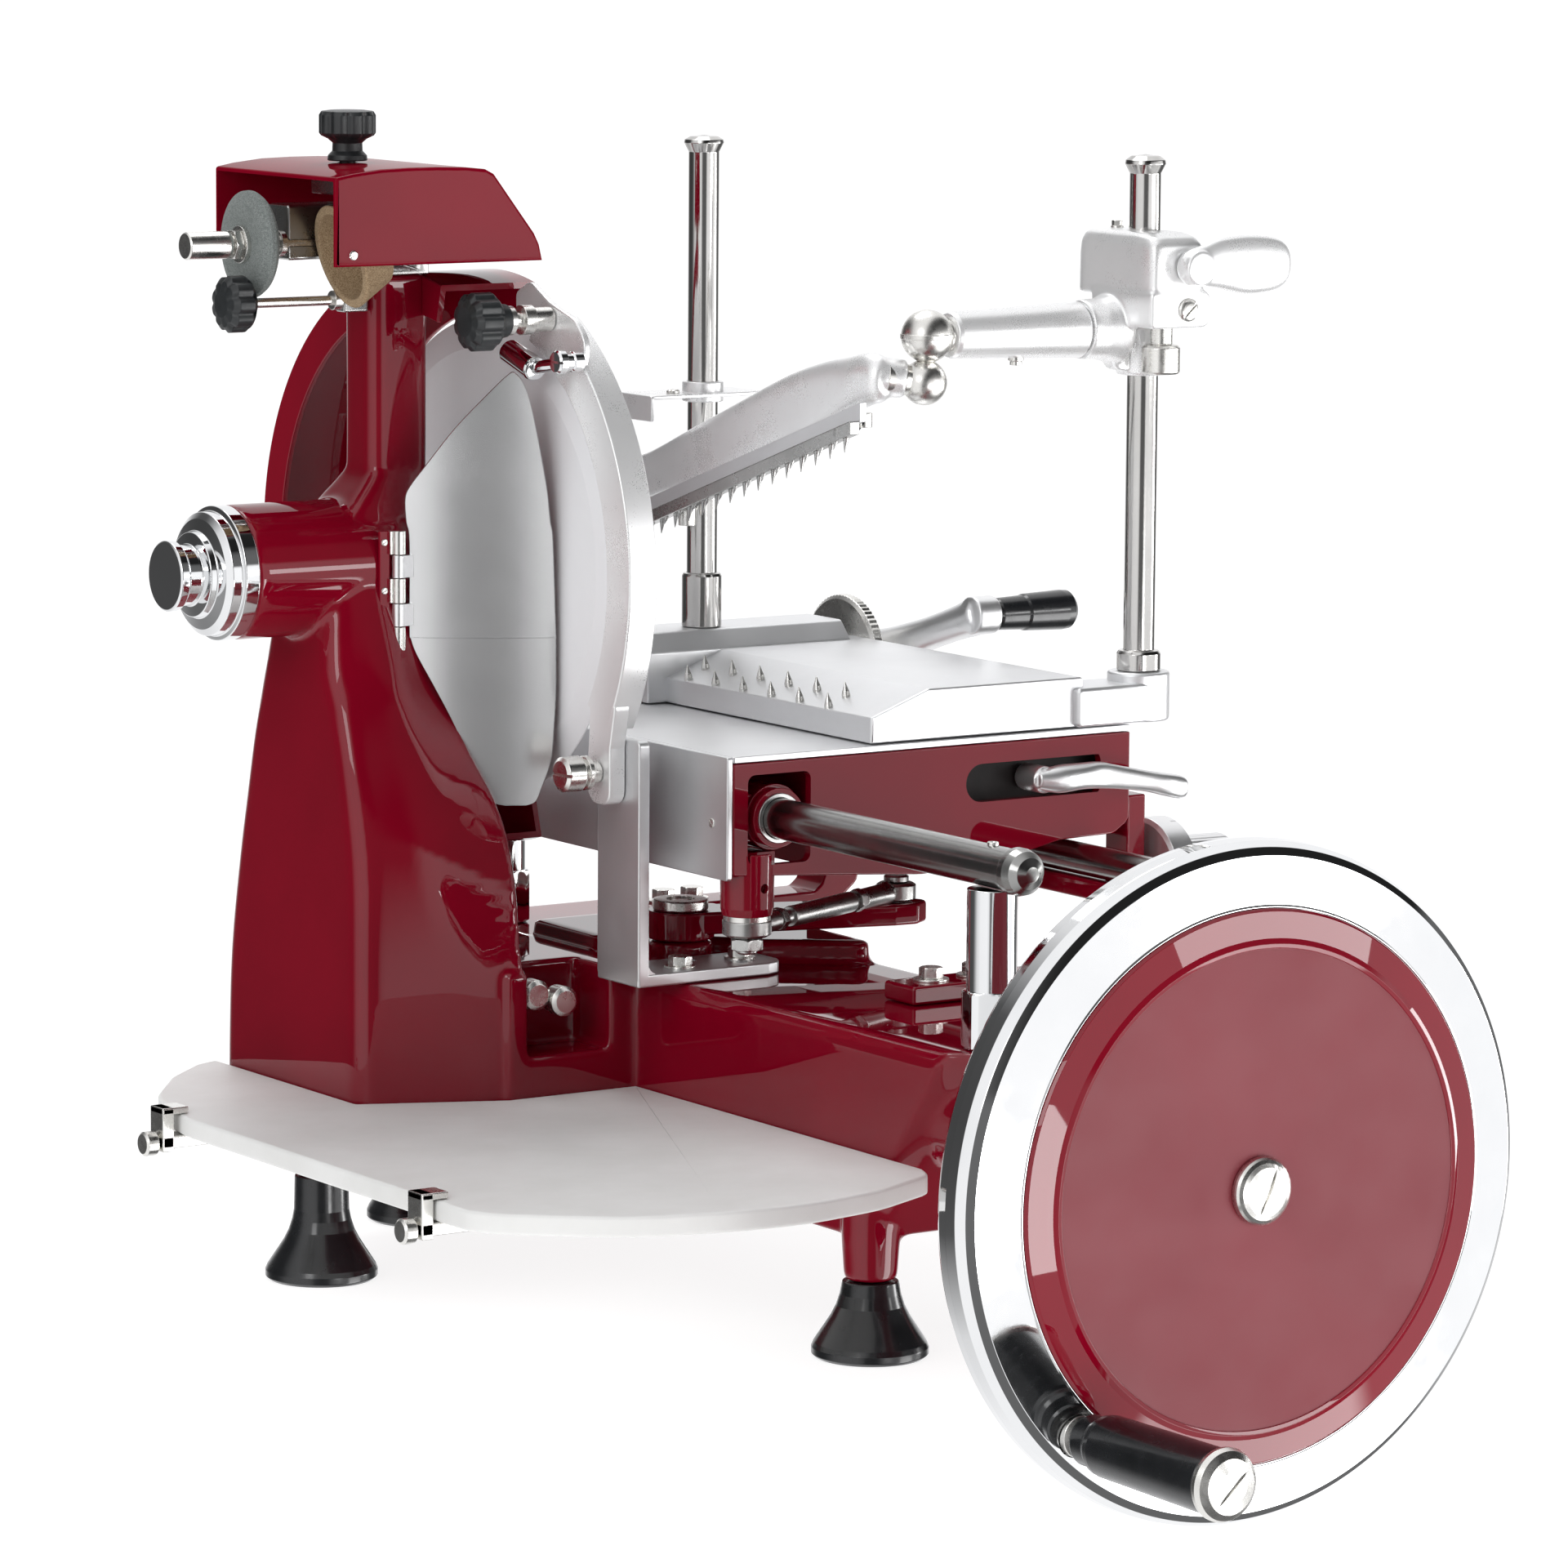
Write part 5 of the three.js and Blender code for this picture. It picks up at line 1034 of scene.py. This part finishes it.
piece("sharpener_cover_pressed", cover, "cover", "sharpener_set", ["sharpener_cover"], 32)
body = union(box(-95, -58, -26, 26, 628.4, 688, 1), box(-112, -60, -26, 26, 677, 688, 1), box(-145, -94, -3, 22, 638, 672, 2), box(-99.5, -95.6, -16, 4, 606, 640, 1), box(-114, -97, -18, -7, 606, 621, 1.5), box(-95, -84, -52, -20, 638, 664, 1))
body = cut(body, rod("x", (2, 648.5), -150, -110, 5.5), rod("z", (-101, 0), 670, 700, 5.4), rod("x", (-13, 613.5), -130, -97, 3.5))
piece("sharpener_frame_cast", body, "steel", "sharpener_set", ["sharpener_frame"], 32)
piece("cover_screw", lathe("z", (0, 0), [(0, 0), (0, 5.4), (6.4, 5.4), (7.4, 4.2), (7.4, 0)], 60, 0.5, knurl(20, 0.35, 1, 6)).moved(aim((-24.6, 30, 672), (0.79, 0, 0.61)))
      + pan_screw((-140, -73.8, 645), (0, -1, 0), 3.0, 1.6, 0.4), "bright", "sharpener_set")
piece("sharpener_knob_moulded", lathe("z", (-101, 0), [
    (698, 0), (698, 12.4), (701.4, 12), (704, 9.4), (709, 9.2), (711.4, 12), (713.4, 16.4), (715, 17.6), (726, 17.6), (728.4, 16), (729, 11), (729, 0)], 144, 0.8, lobes(9, 0.12, 713, 727.6))
      + rod("z", (-101, 0), 679, 699, 5), "knob", "sharpener_knob_set", ["sharpener_knob"], 50)
stone = lathe("x", (2, 648.5), [(-174, 0), (-174, 25.5), (-172.6, 29), (-171, 32.6), (-168, 32.8), (-165.4, 31), (-165, 28), (-165, 0)], 112, 0.6)
piece("grinding_wheel_stone", stone, "stone", "grinding_wheel_set", ["grinding_wheel"])
sleeve = lathe("x", (2, 648.5), [(-214, 0), (-214, 7.6), (-213, 8.5), (-186, 8.5), (-184, 8), (-184, 5.4), (-173.6, 5.4), (-173.6, 0)], 64, 0.4) + nut("x", (2, 648.5), -182.5, -177, 17) + lathe("x", (2, 648.5), [(-177, 0), (-177, 11.4), (-173.8, 11.4), (-173.8, 0)], 56, 0.4) + rod("x", (2, 648.5), -165.4, -112, 5) \
    + nut("x", (2, 648.5), -163.4, -158, 13) + lathe("x", (2, 648.5), [(-150, 5), (-150, 8), (-146, 8), (-146, 5), (-150, 5)], 40, 0.4)
piece("grinding_wheel_sleeve", sleeve, "bright", "grinding_wheel_set")
axis = Vector((-0.96, 0.08, -0.27)).normalized()
cup = lathe("z", (0, 0), [(-1.5, 0), (0, 12), (6, 24), (22, 30), (30, 33), (30, 27), (12, 22), (8, 6), (8, 0)], 96, 1.2).moved(aim((-99.2, -39.9, 649.6), axis))
piece("cup_stone_pressed", cup, "brown", "cup_stone_set", ["cup_stone"], 40)
piece("cup_stone_nut", nut("z", (0, 0), 7.6, 12, 12).moved(aim((-99.2, -39.9, 649.6), axis)) + spindle(tuple(Vector((-99.2, -39.9, 649.6)) + axis * 11.6), tuple(axis), [(0, 0), (0, 3), (4, 3), (4, 0)], 24, 0.3), "steel", "cup_stone_set")
piece("push_knob_moulded", lathe("x", (-13, 613.5), [
    (-198, 0), (-197.4, 8), (-196, 14), (-193, 17.5), (-183, 17.5), (-181, 16), (-179, 12), (-177, 9), (-176, 8), (-176, 0)], 144, 0.8, lobes(9, 0.13, -196.4, -181)), "knob", "push_knob_set", ["push_knob"], 50)
piece("push_rod", rod("x", (-13, 613.5), -176.4, -99, 3) + tube("x", (-13, 613.5), -120, -114.4, 2.8, 6), "bright", "push_knob_set")

# ------------------------------------------------------------------ receiving board
curve = [(-145, 92), (-163, 85), (-197, 55), (-234, 6), (-250, -35), (-256, -75), (-256, -400), (-246, -418), (-227, -434), (-186, -467), (-124, -483), (-78, -486), (-22, -475), (28, -451), (34.4, -436), (34.4, -122.6), (-58.8, -122.6), (-145, -84.9)]
rounding = [3, 20, 60, 60, 60, 60, 24, 30, 50, 90, 120, 120, 90, 16, 14, 2, 2, 2]
board = prism("z", [(x, y, rr) for (x, y), rr in zip(curve, rounding)], 114, 126.4, 2.2, 2.2, 4)
piece("board_sheet", board, "board", "base", ["receiving_board"], 30)
for name, y, right in (("board_bar_rear", -52, -144.6), ("board_bar_front", -359, 27.6)):
    clip = box(-266, right, y - 8, y + 8, 106, 113.6, 1.0, "x") + box(-266, -258, y - 8, y + 8, 104, 131, 0.8, "x", 1) + box(-266, -248, y - 8, y + 8, 126.8, 131, 0.8, "z", 1)
    screw = lathe("x", (y, 109), [(-276, 0), (-276, 6), (-274.6, 7.5), (-268, 7.5), (-266.4, 4.4), (-265.4, 4), (-265.4, 0)], 60, 0.5, knurl(22, 0.3, -274.4, -268.4))
    piece(name + "_clip", clip + screw, "bright", "base", [name])
# two locking knobs in the recess beside the column
recess = Shape([], [])
for x, z, y0 in ((-33, 188, -116), (-15, 183, -119)):
    recess = recess + lathe("y", (x, z), [(y0, 0), (y0, 7), (y0 + 2, 9.4), (y0 + 12, 9.4), (y0 + 14, 7), (y0 + 16, 4.6), (-79, 4.6), (-79, 0)], 56, 0.8, knurl(20, 0.3, y0 + 2.4, y0 + 11.6))
piece("recess_knobs", recess, "bright", "base")

# ------------------------------------------------------------------ floor, light, camera


def plain(name, build, look):
    me = bpy.data.meshes.new(name)
    me.from_pydata(build[0], [], build[1])
    ob = bpy.data.objects.new(name, me)
    scene.collection.objects.link(ob)
    me.materials.append(look)
    return ob


def floor_material(name, colour, glow):
    m = bpy.data.materials.new(name)
    m.use_nodes = True
    nt = m.node_tree
    b = nt.nodes["Principled BSDF"]
    b.inputs["Base Color"].default_value = (*colour, 1)
    b.inputs["Roughness"].default_value = 0.9
    b.inputs["Specular IOR Level"].default_value = 0.1
    b.inputs["Emission Color"].default_value = (1, 1, 1, 1)
    b.inputs["Emission Strength"].default_value = glow
    return m


pale = floor_material("pale_floor", (0.30, 0.30, 0.30), 0.86)
R = 90
for ob in (plain("counter", ([(-R, -0.6, 0), (R, -0.6, 0), (R, R, 0), (-R, R, 0), (-R, -0.6, -0.5), (R, -0.6, -0.5)], [(0, 1, 2, 3), (4, 5, 1, 0)]), pale),
           plain("low_floor", ([(-R, -R, -0.5), (R, -R, -0.5), (R, -0.6, -0.5), (-R, -0.6, -0.5)], [(0, 1, 2, 3)]), pale)):
    ob.visible_glossy = False
# pale wall all round, seen only as a background
ring = [(R * 0.95 * math.cos(2 * math.pi * i / 48), R * 0.95 * math.sin(2 * math.pi * i / 48)) for i in range(48)]
wall = plain("pale_wall", ([(x, y, -1) for x, y in ring] + [(x, y, 60) for x, y in ring], [(i, (i + 1) % 48, 48 + (i + 1) % 48, 48 + i) for i in range(48)]), floor_material("pale_wall", (0.3, 0.3, 0.3), 1.0))
wall.visible_diffuse = wall.visible_glossy = wall.visible_shadow = wall.visible_transmission = False

# soft studio: pale all round, with darker gaps in front and behind the left side
world = bpy.data.worlds.new("studio")
scene.world = world
world.use_nodes = True
nt = world.node_tree
coords = nt.nodes.new("ShaderNodeTexCoord")
side = nt.nodes.new("ShaderNodeVectorMath")
side.operation = "DOT_PRODUCT"
side.inputs[1].default_value = Vector((0.55, -0.82, -0.14)).normalized()
scale = nt.nodes.new("ShaderNodeMath")
scale.operation = "MULTIPLY_ADD"
scale.inputs[1].default_value = 0.5
scale.inputs[2].default_value = 0.5
shade = nt.nodes.new("ShaderNodeValToRGB")
STOPS = [(0.0, 0.05), (0.05, 0.08), (0.14, 0.72), (0.25, 0.92), (0.50, 0.95), (0.565, 0.80), (0.62, 0.14), (0.82, 0.12), (0.865, 0.90), (0.91, 1.05), (1.0, 1.0)]
while len(shade.color_ramp.elements) < len(STOPS):
    shade.color_ramp.elements.new(0.5)
for e, (at, v) in zip(shade.color_ramp.elements, STOPS):
    e.position = at
    e.color = (v, v, v * 1.01, 1)
nt.links.new(coords.outputs["Generated"], side.inputs[0])
nt.links.new(side.outputs["Value"], scale.inputs[0])
nt.links.new(scale.outputs[0], shade.inputs["Fac"])


def world_node(kind, operation="", **values):
    node = nt.nodes.new(kind)
    if operation:
        node.operation = operation
    for key, value in values.items():
        node.inputs[int(key[1:])].default_value = value
    return node


def world_range(source, low, high):
    node = world_node("ShaderNodeMapRange")
    node.interpolation_type = "SMOOTHSTEP"
    nt.links.new(source, node.inputs["Value"])
    node.inputs["From Min"].default_value, node.inputs["From Max"].default_value = low, high
    return node.outputs["Result"]


def world_math(operation, *sources):
    node = world_node("ShaderNodeMath", operation)
    for k, source in enumerate(sources):
        if isinstance(source, (int, float)):
            node.inputs[k].default_value = source
        else:
            nt.links.new(source, node.inputs[k])
    return node.outputs[0]


# the room in front is dark above the table's level, and one bright patch of the table lies low in front
parts = world_node("ShaderNodeSeparateXYZ")
nt.links.new(coords.outputs["Generated"], parts.inputs[0])
height = parts.outputs["Z"]
dim = world_math("MULTIPLY", world_range(height, 0.21, 0.29), world_range(scale.outputs[0], 0.60, 0.70))
keep = world_math("SUBTRACT", 1.0, world_math("MULTIPLY", dim, 0.88))
flat = world_node("ShaderNodeVectorMath", "MULTIPLY", _1=(1, 1, 0))
nt.links.new(coords.outputs["Generated"], flat.inputs[0])
unit = world_node("ShaderNodeVectorMath", "NORMALIZE")
nt.links.new(flat.outputs[0], unit.inputs[0])
ahead = world_node("ShaderNodeVectorMath", "DOT_PRODUCT", _1=(0.669, -0.743, 0))
nt.links.new(unit.outputs[0], ahead.inputs[0])
patch = world_math("MULTIPLY", world_range(ahead.outputs["Value"], 0.966, 0.976), world_math("MULTIPLY", world_range(height, -0.70, -0.66), world_range(height, -0.19, -0.23)))
dimmed = world_node("ShaderNodeVectorMath", "SCALE")
nt.links.new(shade.outputs["Color"], dimmed.inputs[0])
nt.links.new(keep, dimmed.inputs["Scale"])
added = world_node("ShaderNodeVectorMath", "ADD")
nt.links.new(dimmed.outputs[0], added.inputs[0])
nt.links.new(world_math("MULTIPLY", patch, 4.5), added.inputs[1])
nt.links.new(added.outputs[0], nt.nodes["Background"].inputs["Color"])
nt.nodes["Background"].inputs["Strength"].default_value = 1.12


def softbox(name, at, target, size, watts, colour=(1, 1, 1)):
    light = bpy.data.lights.new(name, "AREA")
    light.shape = "RECTANGLE"
    light.size, light.size_y = size
    light.energy = watts
    light.color = colour
    ob = bpy.data.objects.new(name, light)
    scene.collection.objects.link(ob)
    ob.location = at
    ob.rotation_euler = (Vector(target) - Vector(at)).to_track_quat("-Z", "Y").to_euler()
    ob.visible_camera = False
    return ob


softbox("top", (0.3, 0.7, 2.4), (0, 0, 0.4), (1.2, 0.9), 15)
softbox("front_card", (1.52, -2.47, 0.60), (-0.13, -0.04, 0.45), (1.0, 0.34), 7)
softbox("low_card", (0.10, -2.3, -0.10), (-0.06, -0.12, 0.17), (0.5, 0.5), 7)
softbox("right_strip", (2.4, -1.0, 0.05), (0.0, -0.1, 0.2), (0.5, 1.0), 14)
softbox("left", (-2.6, -1.6, 1.7), (0, -0.1, 0.4), (0.9, 1.2), 12)

cam = bpy.data.cameras.new("camera")
cam.sensor_width = 36
cam.lens = 159.375
cam.clip_end = 500
ob = bpy.data.objects.new("camera", cam)
scene.collection.objects.link(ob)
right, down, forward = Vector((0.832294, -0.554289, 0.007086)), Vector((-0.071594, -0.120159, -0.990170)), Vector((0.549692, 0.823605, -0.139692))
ob.matrix_world = Matrix.Translation((-2.251401, -3.710448, 0.916561)) @ Matrix((right, -down, -forward)).transposed().to_4x4()
scene.camera = ob
scene.view_settings.view_transform = "Standard"
scene.view_settings.look = "None"
